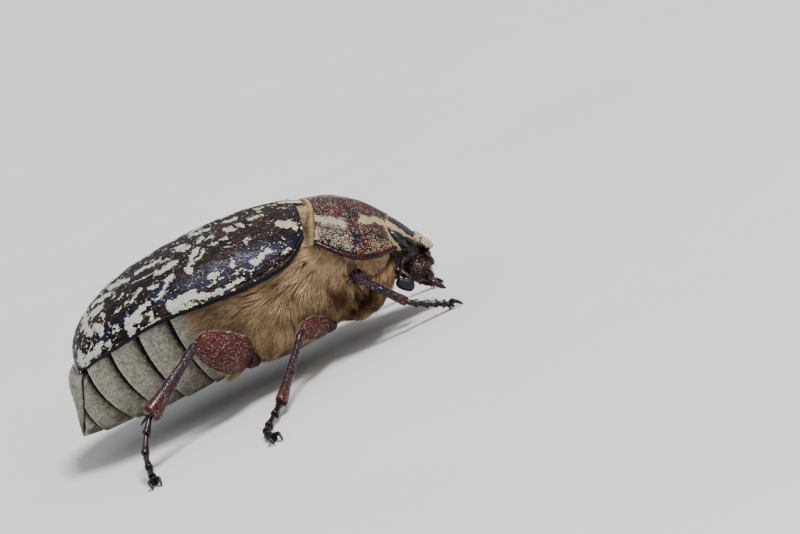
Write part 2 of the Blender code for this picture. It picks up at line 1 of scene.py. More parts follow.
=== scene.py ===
"""Looks of the pine chafer: shells, skin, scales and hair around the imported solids, floor, light and camera.

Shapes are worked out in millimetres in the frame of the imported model, and written to meshes in metres. The
insect faces +X with its right side towards -Y, and stands on z = 0.
"""

import math

import bpy
import numpy as np
from mathutils import Matrix, Vector
from mathutils.noise import voronoi


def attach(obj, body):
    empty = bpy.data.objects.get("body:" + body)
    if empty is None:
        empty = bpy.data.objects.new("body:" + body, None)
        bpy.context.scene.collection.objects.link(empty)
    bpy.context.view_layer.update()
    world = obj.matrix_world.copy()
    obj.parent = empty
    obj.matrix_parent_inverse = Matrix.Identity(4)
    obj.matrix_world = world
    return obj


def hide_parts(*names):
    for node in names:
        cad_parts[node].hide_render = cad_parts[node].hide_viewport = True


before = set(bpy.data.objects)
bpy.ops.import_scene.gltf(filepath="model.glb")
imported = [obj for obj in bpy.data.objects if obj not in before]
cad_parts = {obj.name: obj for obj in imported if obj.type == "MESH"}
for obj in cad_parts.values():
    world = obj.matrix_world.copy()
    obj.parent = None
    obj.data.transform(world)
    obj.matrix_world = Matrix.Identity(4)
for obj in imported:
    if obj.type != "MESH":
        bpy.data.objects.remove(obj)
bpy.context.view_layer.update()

MM = 0.001
BODY = "root"
RIGHT, LEFT = -1, 1
SIDES = {"right": RIGHT, "left": LEFT}
UP = np.array((0.0, 0.0, 1.0))

# The photo's framing: where the camera looks, how far it is, its angles in degrees, and its lens.
LOOK_AT = Vector((14.02, 0.0, 4.32)) * MM
DISTANCE = 220 * MM
AZIMUTH, ELEVATION, ROLL = -6, 11, 24
LENS, SENSOR = 112.86, 36

# Main dimensions, the same as those of the solids.
# Covers: x and z of the midline, then x, half-width and z of the margin.
ELYTRON = np.array([
    (7.7, 13.60, 6.9, 5.80, 11.2), (5.4, 14.30, 5.0, 6.90, 10.0), (3.0, 14.62, 3.0, 7.50, 9.70),
    (0.4, 14.75, 0.4, 8.05, 9.75), (-2.3, 14.66, -2.6, 8.40, 9.95), (-5.0, 14.45, -5.4, 8.45, 10.2),
    (-7.8, 14.05, -8.2, 8.10, 10.2), (-10.6, 13.25, -10.8, 7.10, 9.70), (-13.0, 11.95, -12.8, 5.90, 9.25),
    (-14.6, 10.30, -14.2, 4.70, 8.80), (-15.25, 8.40, -14.8, 3.70, 8.50),
])
PRONOTUM_LONG, PRONOTUM_ARC = 7.5, 9.3  # its length, and the way over it from the midline to a margin
PRONOTUM = np.array([
    (9.1, 13.20, 7.5, 6.30, 10.5), (10.6, 12.82, 8.8, 6.95, 9.05), (12.0, 12.05, 10.4, 7.10, 7.75),
    (13.5, 10.85, 12.2, 6.10, 7.05), (14.9, 9.10, 14.0, 4.50, 6.75),
])
FRONT_NOTCH = 0.85
ARCH = 0.88
SCUTELLUM_BASE, SCUTELLUM_TIP, SCUTELLUM_HALF = 8.6, 5.8, 1.75
SHELL, PLATE = 0.5, 0.45  # thickness of the wing cases and the pronotum, and of the two small plates
# The trunk: x of the side and of the belly, half-width and z of the side, z of the back and of the belly.
TRUNK = np.array([
    (13.3, 12.5, 3.50, 7.0, 8.20, 3.80), (12.2, 11.5, 5.20, 6.9, 9.80, 2.70),
    (10.8, 10.1, 6.30, 7.2, 11.2, 2.10), (9.4, 8.7, 6.20, 8.4, 12.1, 2.00),
    (7.8, 7.1, 5.80, 9.9, 12.7, 2.30), (5.2, 4.7, 6.70, 9.30, 13.5, 2.10),
    (2.4, 2.4, 7.20, 8.90, 13.8, 1.95), (-0.4, 0.4, 7.50, 9.10, 13.9, 2.05),
    (-3.3, -2.0, 7.10, 9.5, 13.2, 2.45), (-6.2, -4.7, 7.20, 9.8, 13.0, 2.25),
    (-9.2, -7.5, 6.75, 9.5, 12.3, 2.20), (-11.9, -9.8, 5.85, 9.0, 11.1, 2.20),
    (-14.3, -12.1, 4.60, 8.1, 9.2, 2.25), (-15.9, -15.1, 3.20, 6.0, 6.9, 2.40),
    (-16.5, -17.15, 1.20, 3.9, 4.7, 2.70),
])
FIRST_SEGMENT = 8 / 14  # share of the trunk where the abdomen starts
SEGMENTS = 6
LAST_PLACE = 1 - 1e-5  # the trunk's end, still in the last segment
AXIS_HEIGHT = 7.0  # of the line from which the trunk and its covers face away
BELLY_DROP, BELLY_ROUND, BELLY_SMOOTH = 0.95, 0.75, 0.60
COAT = 0.55  # how deep the skin lies under the outline of the long hair
STERNITE_STEP = 0.38
# The pygidium: x of its middle and of its edge, half-width, z.
PYGIDIUM = np.array([
    (-14.60, -14.00, 3.60, 8.30), (-15.50, -14.75, 3.98, 8.22), (-16.05, -15.05, 3.98, 7.85),
    (-16.35, -15.30, 3.88, 7.20), (-16.50, -15.60, 3.64, 6.40), (-16.62, -15.95, 3.25, 5.50),
    (-16.78, -16.30, 2.42, 4.65), (-16.95, -16.70, 1.40, 3.80), (-17.08, -17.00, 0.50, 2.98),
])
HEAD_ORIGIN = np.array((15.78, 0.0, 7.55))
HEAD_TILT = math.radians(-60)


def row_at(rows, s):
    """The rows of a table at the shares s, on a smooth curve through its rows."""
    s = np.asarray(s, float)
    last = len(rows) - 1
    k = np.clip((s * last).astype(int), 0, last - 1)
    f = (s * last - k)[..., None]
    a, b, c, d = (rows[np.clip(k + i, 0, last)] for i in (-1, 0, 1, 2))
    return b + 0.5 * f * (c - a + f * (2 * a - 5 * b + 4 * c - d + f * (3 * (b - c) + d - a)))


def unit(v):
    return v / np.linalg.norm(v, axis=-1, keepdims=True)


def power(value, exponent):
    """A signed power, for superellipses."""
    return np.sign(value) * np.abs(value) ** exponent


def bump(value, middle, width):
    """1 in the middle, falling smoothly to 0 on both sides."""
    return np.exp(-((value - middle) / width) ** 2)


def step(low, high, value):
    """0 below low, 1 above high, and smooth between them."""
    f = np.clip((value - low) / (high - low), 0, 1)
    return f * f * (3 - 2 * f)


def stations(*stretches):
    """Stations along a surface: one row of them for each stretch, given as its start, end and count."""
    rows = [np.linspace(*stretch) for stretch in stretches]
    return np.concatenate([row[:-1] for row in rows[:-1]] + rows[-1:])


def lattice(ix, iy, seed):
    """A repeatable number from -1 to 1 for each cell of a grid."""
    h = (ix * 374761393 + iy * 668265263 + seed * 974711) & 0xFFFFFFFF
    h = ((h ^ (h >> 13)) * 1274126177) & 0xFFFFFFFF
    return ((h ^ (h >> 16)) & 0xFFFF) / 32767.5 - 1


def noise(x, y, size, seed, octaves=1):
    """Smooth noise from about -1 to 1, with features of about the given size."""
    total, weight = 0.0, 1.0
    for octave in range(octaves):
        px, py = x / size + 17.3 * octave, y / size - 9.1 * octave
        ix, iy = np.floor(px).astype(np.int64), np.floor(py).astype(np.int64)
        fx, fy = step(0, 1, px - ix), step(0, 1, py - iy)
        low = lattice(ix, iy, seed) * (1 - fx) + lattice(ix + 1, iy, seed) * fx
        high = lattice(ix, iy + 1, seed) * (1 - fx) + lattice(ix + 1, iy + 1, seed) * fx
        total = total + weight * (low * (1 - fy) + high * fy)
        weight, size = weight * 0.5, size * 0.5
    return total


def loft(rings):
    """Points and faces of the closed surface over rings of equal length, an array (ring, point, xyz)."""
    count, n = rings.shape[:2]
    index = np.arange(count * n).reshape(count, n)
    a, b = index[:-1], index[1:]
    quads = np.stack([a, np.roll(a, -1, 1), np.roll(b, -1, 1), b], -1).reshape(-1, 4)
    first, last = index[0], index[-1]
    fans = np.concatenate([
        np.stack([np.roll(first, -1), first, np.full(n, count * n)], -1),
        np.stack([last, np.roll(last, -1), np.full(n, count * n + 1)], -1),
    ])
    points = np.concatenate([rings.reshape(-1, 3), [rings[0].mean(0), rings[-1].mean(0)]])
    return points, [quads, fans]


def tube(path, radii, sides, wide, square=1.0):
    """A tube along a path. radii has a pair for each point: along wide, and across it."""
    path, radii = np.asarray(path, float), np.asarray(radii, float)
    ahead = unit(np.gradient(path, axis=0))
    first = unit(wide - ahead * (ahead @ np.asarray(wide, float))[:, None])
    second = np.cross(ahead, first)
    turns = np.linspace(0, 2 * math.pi, sides, endpoint=False)
    across, along = power(np.cos(turns), square)[:, None], power(np.sin(turns), square)[:, None]
    return loft(path[:, None] + first[:, None] * radii[:, :1, None] * across
                + second[:, None] * radii[:, 1:, None] * along)


def joined(parts):
    """Several closed shapes as one."""
    points, sets, start = [], [], 0
    for part_points, part_sets in parts:
        points.append(part_points)
        sets += [faces + start for faces in part_sets]
        start += len(part_points)
    return np.concatenate(points), sets


def volume(points, face_sets):
    """Six times the signed volume inside the faces."""
    total = 0.0
    for faces in face_sets:
        corner = points[faces]
        for k in range(1, faces.shape[1] - 1):
            total += (corner[:, 0] * np.cross(corner[:, k], corner[:, k + 1])).sum()
    return total


def linked(thing):
    bpy.context.scene.collection.objects.link(thing)
    return thing


def add_piece(name, shape, finish, nodes=(), layers=None, uv=None):
    """A closed mesh that rides on the body, in millimetres. layers and uv hold values for each point."""
    points, face_sets = shape
    if volume(points, face_sets) < 0:
        face_sets = [faces[:, ::-1] for faces in face_sets]
    corners = np.concatenate([faces.ravel() for faces in face_sets])
    sizes = np.concatenate([np.full(len(faces), faces.shape[1]) for faces in face_sets])
    mesh = bpy.data.meshes.new(name)
    mesh.vertices.add(len(points))
    mesh.vertices.foreach_set("co", (points * MM).astype(np.float32).ravel())
    mesh.loops.add(len(corners))
    mesh.loops.foreach_set("vertex_index", corners.astype(np.int32))
    mesh.polygons.add(len(sizes))
    mesh.polygons.foreach_set("loop_start", (np.cumsum(sizes) - sizes).astype(np.int32))
    mesh.update(calc_edges=True)
    mesh.shade_smooth()
    for layer, values in (layers or {}).items():
        data = mesh.attributes.new(layer, "FLOAT", "POINT").data
        data.foreach_set("value", np.asarray(values, np.float32))
    if uv is not None:
        data = mesh.uv_layers.new(name="OFBake").data
        data.foreach_set("uv", uv[corners].astype(np.float32).ravel())
    mesh.materials.append(finish)
    piece = linked(bpy.data.objects.new(name, mesh))
    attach(piece, BODY)
    if nodes:
        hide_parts(*nodes)


def slopes(surface, u, v, centre=None):
    """Points of a surface, its directions along u and v, and the outward one, away from a centre or axis."""
    u, v = np.broadcast_arrays(u, v)
    nudge = 1e-4
    back, ahead = np.where(u > 0.5, -nudge, nudge), np.where(v > 0.5, -nudge, nudge)
    point = surface(u, v)
    along = (surface(u + back, v) - point) / back[..., None]
    around = (surface(u, v + ahead) - point) / ahead[..., None]
    normal = unit(np.cross(along, around))
    away = point * (0, 1, 1) - (0, 0, AXIS_HEIGHT) if centre is None else point - np.array(centre)
    return point, along, around, normal * np.sign((normal * away).sum(-1, keepdims=True))


# Surfaces. Each is a function of two shares or angles, for arrays, and gives points in millimetres.

def arch(rows, s, t, start=0.0, lift=0.0):
    """An arched cover: s from its first row to its last, t from the midline to the margin, raised by lift."""
    x_mid, z_mid, x_edge, half, z_edge = np.moveaxis(row_at(rows, s), -1, 0)
    turn = np.abs(t) * math.pi / 2
    out, up = np.sin(turn) ** ARCH, np.clip(np.cos(turn), 0, 1) ** ARCH
    y = start + (half - start) * out + lift * np.sin(turn)
    return np.stack([
        x_mid + (x_edge - x_mid) * (1 - up), np.where(t < 0, -y, y),
        z_edge + (z_mid - z_edge) * up + lift * np.cos(turn)], -1)


WING_ARC = 1.23  # length of a wing case's cross-section as a multiple of its half-width
SUTURE = 0.03  # half the gap between the wing cases
WING_SHARES = np.linspace(0, 1, 400)
WING_TRACK = row_at(ELYTRON, WING_SHARES)[:, :2]
WING_RUN = np.append(0, np.cumsum(np.hypot(*np.diff(WING_TRACK, axis=0).T)))
RIBS = (2.0, 4.0, 6.0)  # distances of the wing case's low ribs from the midline


def wing_along(s):
    """Distance along a wing case's midline, counted as x is: it starts at the x of the base and falls."""
    return WING_TRACK[0, 0] - np.interp(s, WING_SHARES, WING_RUN)


def wing_across(s, t):
    """Distance from the midline over a wing case."""
    return t * WING_ARC * row_at(ELYTRON, s)[..., 3]


def wing_edge(s, t):
    """Distance from the margin over a wing case."""
    return (1 - t) * WING_ARC * row_at(ELYTRON, s)[..., 3]


def wing_relief(s, t):
    """Height of the wing case's bumps, ribs and rims over its plain arch."""
    edge, across = wing_edge(s, t), wing_across(s, t)
    lift = 0.20 * bump(s, 0.10, 0.05) * bump(t, 0.60, 0.09)
    lift += 0.14 * bump(s, 0.86, 0.06) * bump(t, 0.55, 0.12)
    ribbed = step(0.02, 0.15, s) * (1 - step(0.8, 0.95, s))
    lift += sum(0.045 * bump(across, rib, 0.32) for rib in RIBS) * ribbed
    lift += 0.05 * bump(across, 0.25, 0.18)
    lift += 0.09 * bump(edge, 0.22, 0.16) - 0.08 * bump(edge, 0.52, 0.11)
    return lift + 0.02 * noise(s * 23, across, 1.3, 5, 2)


def wing_case(side):
    def surface(s, t):
        x = row_at(ELYTRON, s)[..., 0]
        reach = (x - SCUTELLUM_TIP) / (SCUTELLUM_BASE - SCUTELLUM_TIP)
        start = SUTURE + np.clip(reach, 0, 1) ** 0.7 * (SCUTELLUM_HALF + 0.1)
        return arch(ELYTRON, s, t, start, wing_relief(s, t)) * (1, side, 1)
    return surface


def pronotum(s, t):
    """The shield over the prothorax: thin rims, a low groove along its middle and a dent on each side."""
    aside = np.abs(t)
    notch = FRONT_NOTCH * np.clip(s, 0, 1) ** 4 * np.sin(math.pi * np.clip(aside, 0, 1)) ** 1.2
    edge = (1 - aside) * PRONOTUM_ARC
    lift = 0.07 * bump(edge, 0.16, 0.13) - 0.06 * bump(edge, 0.42, 0.1)
    lift += 0.06 * bump(s, 0.985, 0.015) + 0.05 * bump(s, 0.01, 0.012)
    lift -= 0.05 * bump(aside, 0.0, 0.02) * step(0.1, 0.3, s)
    lift -= 0.10 * bump(s, 0.50, 0.05) * bump(aside, 0.80, 0.05)
    return arch(PRONOTUM, s, t, 0.0, lift) - notch[..., None] * np.array((1.0, 0.0, 0.0))


def segment_inset(u):
    """How far the abdomen lies inside its outline: each segment rises from under the one before it."""
    f = segment_share(np.minimum(u, LAST_PLACE))
    rise = STERNITE_STEP * (1 - f) ** 1.3 + 0.16 * bump(f, 0.0, 0.05) + 0.10 * step(0.965, 1.0, f)
    return np.where(u < FIRST_SEGMENT, COAT, rise)


def trunk(u, turn):
    """The trunk's skin: u from the neck to the tail; turn 0 is the left side, and a quarter turn the back."""
    x_side, x_belly, half, z_side, z_back, z_belly = np.moveaxis(row_at(TRUNK, u), -1, 0)
    across, up = np.cos(turn), np.sin(turn)
    depth = power(np.clip(-up, 0, 1), BELLY_DROP)
    rise = power(np.clip(up, 0, 1), ARCH)
    inset = segment_inset(u) * np.where(u < FIRST_SEGMENT, 1.0, 1 - BELLY_SMOOTH * depth)
    y = (half - inset) * np.where(up >= 0, power(across, ARCH), power(across, BELLY_ROUND))
    z = z_side + (z_back - inset - z_side) * rise - (z_side - z_belly - inset) * depth
    return np.stack([x_side + (x_belly - x_side) * depth ** 2, y, z], -1)


def flank(side):
    """The trunk's skin on one side: an angle of 0 is the side, and a quarter turn the middle of the belly."""
    return lambda u, down: trunk(u, -down if side == LEFT else math.pi + down)


def head_place(d, y, h):
    """Points of the head's own frame: d runs forward and down along the face, h out of it."""
    c, s = math.cos(HEAD_TILT), math.sin(HEAD_TILT)
    d, y, h = np.broadcast_arrays(d, y, h)
    return HEAD_ORIGIN + np.stack([d * c - h * s, y, d * s + h * c], -1)


# Finishes. A layer is a number that the mesh carries at each point.

class Finish:
    """A procedural material under construction, with sizes in millimetres."""

    def __init__(self, name, roughness, **sockets):
        self.material = bpy.data.materials.new(name)
        self.material.use_nodes = True
        self.tree = self.material.node_tree
        self.shader = self.tree.nodes["Principled BSDF"]
        self.shader.inputs["Roughness"].default_value = roughness
        for socket, value in sockets.items():
            self.shader.inputs[socket.replace("_", " ")].default_value = value
        self.place = self.put("TexCoord").outputs["Object"]

    def put(self, kind, sockets=None, **settings):
        """Adds a node. A socket takes a number or colour, or a link where it is given a node's output."""
        node = self.tree.nodes.new("ShaderNode" + kind)
        for key, value in settings.items():
            setattr(node, key, value)
        for key, value in (sockets or {}).items():
            if isinstance(value, bpy.types.NodeSocket):
                self.tree.links.new(value, node.inputs[key])
            else:
                node.inputs[key].default_value = value
        return node

    def noise(self, size, detail=3.0, stretch=(1, 1, 1)):
        place = self.put("Mapping", {"Vector": self.place, "Scale": stretch}).outputs[0]
        return self.put("TexNoise", {"Vector": place, "Scale": 1 / (size * MM), "Detail": detail}).outputs[0]

    def cells(self, size):
        """Distance from the middle of the nearest of scattered cells."""
        return self.put("TexVoronoi", {"Vector": self.place, "Scale": 1 / (size * MM)}).outputs["Distance"]

    def layer(self, name):
        return self.put("Attribute", attribute_name=name).outputs["Fac"]

    def ramp(self, value, low, high):
        """0 below low, 1 above high, and smooth between them."""
        limits = {"Value": value, "From Min": low, "From Max": high}
        return self.put("MapRange", limits, interpolation_type="SMOOTHSTEP").outputs[0]

    def sum(self, a, b, operation="ADD"):
        return self.put("Math", {0: a, 1: b}, operation=operation).outputs[0]

    def times(self, a, b):
        return self.sum(a, b, "MULTIPLY")

    def blend(self, share, a, b):
        """A number from a to b."""
        return self.put("Mix", {0: share, 2: a, 3: b}, data_type="FLOAT").outputs[0]

    def mix(self, share, a, b):
        """A colour from a to b."""
        a, b = ((*c, 1.0) if isinstance(c, tuple) else c for c in (a, b))
        return self.put("Mix", {0: share, 6: a, 7: b}, data_type="RGBA").outputs[2]

    def finish(self, colour, roughness=None, height=None, depth=0.02):
        """Links what varies over the surface. depth is how high the bumps stand, in millimetres."""
        self.tree.links.new(colour, self.shader.inputs["Base Color"])
        if roughness is not None:
            self.tree.links.new(roughness, self.shader.inputs["Roughness"])
        if height is not None:
            relief = self.put("Bump", {"Height": height, "Strength": 1.0, "Distance": depth * MM})
            self.tree.links.new(relief.outputs[0], self.shader.inputs["Normal"])
        return self.material


def make_wing_finish():
    """Dark brown, wrinkled and punctured, with smooth blue-black stretches, and pale where scales lie."""
    f = Finish("wing_case", 0.38, IOR=1.5, Specular_IOR_Level=0.33, Specular_Tint=(0.92, 0.88, 1.0, 1.0))
    pits = f.cells(0.26)
    smooth, cover, rim = f.layer("smooth"), f.layer("cover"), f.layer("rim")
    wrinkles = f.ramp(f.noise(0.34, 3.0, (0.30, 1, 1)), 0.42, 0.60)
    brown = f.mix(f.ramp(f.noise(0.7), 0.38, 0.60), (0.020, 0.010, 0.006), (0.056, 0.025, 0.014))
    brown = f.mix(f.times(f.ramp(pits, 0.16, 0.46), wrinkles), (0.005, 0.003, 0.002), brown)
    blue = f.mix(f.ramp(f.noise(1.2), 0.4, 0.62), (0.008, 0.007, 0.013), (0.021, 0.019, 0.042))
    colour = f.mix(rim, f.mix(smooth, brown, blue), (0.004, 0.004, 0.008))
    colour = f.mix(f.ramp(cover, 0.60, 0.90), colour, (0.50, 0.50, 0.42))
    glaze = f.sum(f.blend(smooth, 0.44, 0.33), f.times(cover, 0.25))
    grain = f.sum(f.sum(f.ramp(pits, 0.12, 0.52), wrinkles), f.times(f.noise(0.10), 0.9))
    return f.finish(colour, glaze, f.times(grain, f.blend(smooth, 1.0, 0.30)), depth=0.055)


def make_pronotum_finish():
    """Mahogany red, closely pitted, with smooth rims and bare blue-black spots mottled with a painted blue
    highlight.
    """
    f = Finish("pronotum", 0.3, IOR=1.5, Specular_IOR_Level=0.38, Coat_Weight=0.06, Coat_Roughness=0.15)
    pits = f.cells(0.24)
    smooth, cover, dark = f.layer("smooth"), f.layer("cover"), f.layer("dark")
    red = f.mix(f.ramp(f.noise(1.0), 0.38, 0.62), (0.014, 0.005, 0.005), (0.080, 0.006, 0.007))
    red = f.mix(f.ramp(pits, 0.16, 0.52), (0.005, 0.002, 0.002), red)
    # The bare spots: blue-black, mottled brighter blue as a painted highlight.
    blue = f.mix(f.ramp(f.noise(0.35), 0.42, 0.60), (0.006, 0.006, 0.016), (0.050, 0.052, 0.125))
    colour = f.mix(f.ramp(cover, 0.80, 0.98), f.mix(dark, red, blue), (0.40, 0.37, 0.28))
    grain = f.sum(f.ramp(pits, 0.12, 0.50), f.times(f.noise(0.09), 0.6))
    glaze, height = f.blend(smooth, 0.42, 0.22), f.times(grain, f.blend(smooth, 1.0, 0.25))
    return f.finish(colour, glaze, height, depth=0.05)


def make_head_finish(name="head", light=(0.060, 0.016, 0.010)):
    """Nearly black, coarsely pitted cuticle with red-brown edges."""
    f = Finish(name, 0.3, IOR=1.5, Coat_Weight=0.3, Coat_Roughness=0.12)
    pits = f.cells(0.20)
    red, cover = f.layer("red"), f.layer("cover")
    mottled = f.ramp(f.noise(0.5), 0.38, 0.66)
    dark, middle = f.mix(red, (0.012, 0.008, 0.010), light), f.mix(red, (0.028, 0.015, 0.014), light)
    colour = f.mix(mottled, dark, middle)
    colour = f.mix(f.ramp(pits, 0.15, 0.48), (0.004, 0.003, 0.003), colour)
    colour = f.mix(f.ramp(cover, 0.5, 0.8), colour, (0.46, 0.41, 0.28))
    grain = f.sum(f.ramp(pits, 0.10, 0.50), f.times(f.noise(0.06), 0.6))
    return f.finish(colour, height=grain, depth=0.05)


def make_skin_finish():
    """Velvety grey-beige abdomen with dark specks; painted light and shade on it and in its gaps; brown under
    the long hair.
    """
    f = Finish("velvet_skin", 0.8, Sheen_Weight=0.15, Specular_IOR_Level=0.25)
    dark, under, pale = f.layer("dark"), f.layer("under"), f.layer("pale")
    # pale carries painted light and shade on the abdomen: darker at each segment's front and towards the
    # belly, lighter on top.
    velvet = f.mix(pale, (0.130, 0.102, 0.068), (0.62, 0.60, 0.51))
    velvet = f.mix(f.ramp(f.noise(0.30, 5.0), 0.40, 0.62), f.mix(0.5, velvet, (0.06, 0.052, 0.038)), velvet)
    velvet = f.mix(f.ramp(f.cells(0.16), 0.10, 0.40), f.mix(0.6, velvet, (0.04, 0.034, 0.026)), velvet)
    # dark carries painted shade: in the folds between the abdomen's segments and in the groove round the
    # pygidium.
    colour = f.mix(dark, velvet, (0.007, 0.006, 0.007))
    colour = f.mix(under, colour, (0.060, 0.033, 0.015))
    return f.finish(colour, height=f.noise(0.07, 4.0), depth=0.06)


def make_leg_finish():
    """Polished cuticle, from purple-black to dark red, with small pits where bristles stand."""
    f = Finish("leg", 0.26, IOR=1.5, Specular_IOR_Level=0.5, Specular_Tint=(0.8, 0.86, 1.0, 1.0),
               Coat_Weight=0.15, Coat_Roughness=0.10)
    pits = f.cells(0.22)
    red = f.layer("red")
    mottled = f.ramp(f.noise(0.5), 0.38, 0.66)
    dark = f.mix(red, (0.014, 0.008, 0.018), (0.150, 0.024, 0.008))
    colour = f.mix(mottled, dark, f.mix(red, (0.048, 0.010, 0.018), (0.075, 0.008, 0.005)))
    colour = f.mix(f.ramp(pits, 0.12, 0.34), f.mix(0.6, colour, (0.008, 0.003, 0.003)), colour)
    grain = f.sum(f.ramp(pits, 0.08, 0.46), f.times(f.noise(0.22), 0.6))
    return f.finish(colour, height=grain, depth=0.06)


def make_foot_finish(name="foot", light=(0.030, 0.011, 0.009), dark=(0.007, 0.005, 0.007)):
    f = Finish(name, 0.26, IOR=1.5, Specular_IOR_Level=0.45, Coat_Weight=0.2, Coat_Roughness=0.12)
    colour = f.mix(f.ramp(f.noise(0.4), 0.35, 0.7), dark, light)
    return f.finish(colour, height=f.noise(0.10), depth=0.02)


def make_eye_finish():
    """Blue-black, glossy, with fine facets."""
    f = Finish("eye", 0.16, IOR=1.45, Coat_Weight=0.5, Coat_Roughness=0.08)
    colour = f.mix(f.noise(0.8), (0.004, 0.005, 0.010), (0.016, 0.020, 0.040))
    return f.finish(colour, height=f.cells(0.06), depth=0.008)


# Coats: the colour of the root, that of the tip, that of the tip where the tone is high, and the roughness.
COATS = {
    "wing_scales": ((0.56, 0.57, 0.52), (0.86, 0.89, 0.87), (0.80, 0.71, 0.49), 0.5),
    "pronotum_scales": ((0.40, 0.36, 0.28), (0.80, 0.76, 0.68), (0.74, 0.60, 0.34), 0.5),
    "golden_hair": ((0.15, 0.086, 0.044), (0.18, 0.095, 0.046), (0.90, 0.69, 0.46), 0.5),
    "fringe_hair": ((0.28, 0.19, 0.10), (0.46, 0.32, 0.17), (0.84, 0.69, 0.45), 0.5),
    "brown_hair": ((0.055, 0.023, 0.009), (0.062, 0.023, 0.011), (0.80, 0.57, 0.33), 0.5),
    "grey_down": ((0.14, 0.115, 0.08), (0.13, 0.105, 0.072), (0.88, 0.86, 0.77), 0.7),
    "silver_bristles": ((0.14, 0.10, 0.09), (0.42, 0.35, 0.31), (0.84, 0.79, 0.73), 0.5),
    "face_hair": ((0.020, 0.010, 0.006), (0.09, 0.045, 0.020), (0.40, 0.28, 0.14), 0.5),
}


def make_coat_finish(name, root, tip, other, roughness):
    """Scales or hairs: the root's colour turns along them to the tip's, or by their tone to the other one."""
    f = Finish(name, roughness, Specular_IOR_Level=0.3)
    end = f.mix(f.layer("tone"), tip, other)
    return f.finish(f.mix(f.ramp(f.layer("out"), 0.0, 0.7), root, end))


LIP_STEPS = 5  # points round the margin of a shell, between its two faces


def cover_shape(surface, s_values, t_values, thickness, centre=None):
    """A closed shell over a surface, thinner at its margins. Also gives s, t and where its inner face is."""
    s, t = np.meshgrid(s_values, t_values, indexing="ij")
    outer, _, _, out = slopes(surface, s, t, centre)
    deep = thickness * (0.12 + 0.88 * np.sqrt(np.clip(np.minimum(s, 1 - s) / 0.03, 0, 1)))
    deep = deep * (0.5 + 0.5 * step(0, 0.08, 1 - np.abs(t)))
    inner = outer - out * deep[..., None]
    turns = np.linspace(0, math.pi, LIP_STEPS + 2)[1:-1]

    def lip(edge, next_in, turns):
        middle, reach = (outer[:, edge] + inner[:, edge]) / 2, (outer[:, edge] - inner[:, edge]) / 2
        ahead = unit(outer[:, edge] - outer[:, next_in]) * np.linalg.norm(reach, axis=-1, keepdims=True) * 0.7
        return np.stack([middle + reach * math.cos(a) + ahead * math.sin(a) for a in turns], 1)

    def carried(values):
        """The grid's values, carried round the margins and the inner face."""
        last, first = (np.repeat(values[:, k, None], LIP_STEPS, 1) for k in (-1, 0))
        return np.concatenate([values, last, values[:, ::-2], first], 1)

    shape = loft(np.concatenate([outer, lip(-1, -2, turns), inner[:, ::-2], lip(0, 1, turns[::-1])], 1))
    s, t = carried(s), carried(t)
    inside = np.zeros(s.shape, bool)
    inside[:, len(t_values) + LIP_STEPS:-LIP_STEPS] = True
    ends = (s[[0, -1], 0], t[[0, -1], 0], (True, True))
    return shape, [np.append(values, end) for values, end in zip((s, t, inside), ends)]


def melted(shape, voxel, rounds=2):
    """One smooth closed surface round shapes that cross, remeshed at the voxel size."""
    points, face_sets = shape
    mesh = bpy.data.meshes.new("draft")
    mesh.from_pydata((points * MM).tolist(), [], [face for faces in face_sets for face in faces.tolist()])
    draft = linked(bpy.data.objects.new("draft", mesh))
    remesh = draft.modifiers.new("remesh", "REMESH")
    remesh.mode = "VOXEL"
    remesh.voxel_size = voxel * MM
    relax = draft.modifiers.new("relax", "SMOOTH")
    relax.iterations = rounds
    bpy.context.view_layer.update()
    made = bpy.data.meshes.new_from_object(draft.evaluated_get(bpy.context.evaluated_depsgraph_get()))
    out = np.zeros(len(made.vertices) * 3)
    made.vertices.foreach_get("co", out)
    sizes = np.zeros(len(made.polygons), int)
    made.polygons.foreach_get("loop_total", sizes)
    corners = np.zeros(len(made.loops), int)
    made.loops.foreach_get("vertex_index", corners)
    starts = np.cumsum(sizes) - sizes
    sets = [corners[starts[sizes == n][:, None] + np.arange(n)] for n in (3, 4) if (sizes == n).any()]
    bpy.data.objects.remove(draft, do_unlink=True)
    bpy.data.meshes.remove(mesh)
    bpy.data.meshes.remove(made)
    return out.reshape(-1, 3) / MM, sets


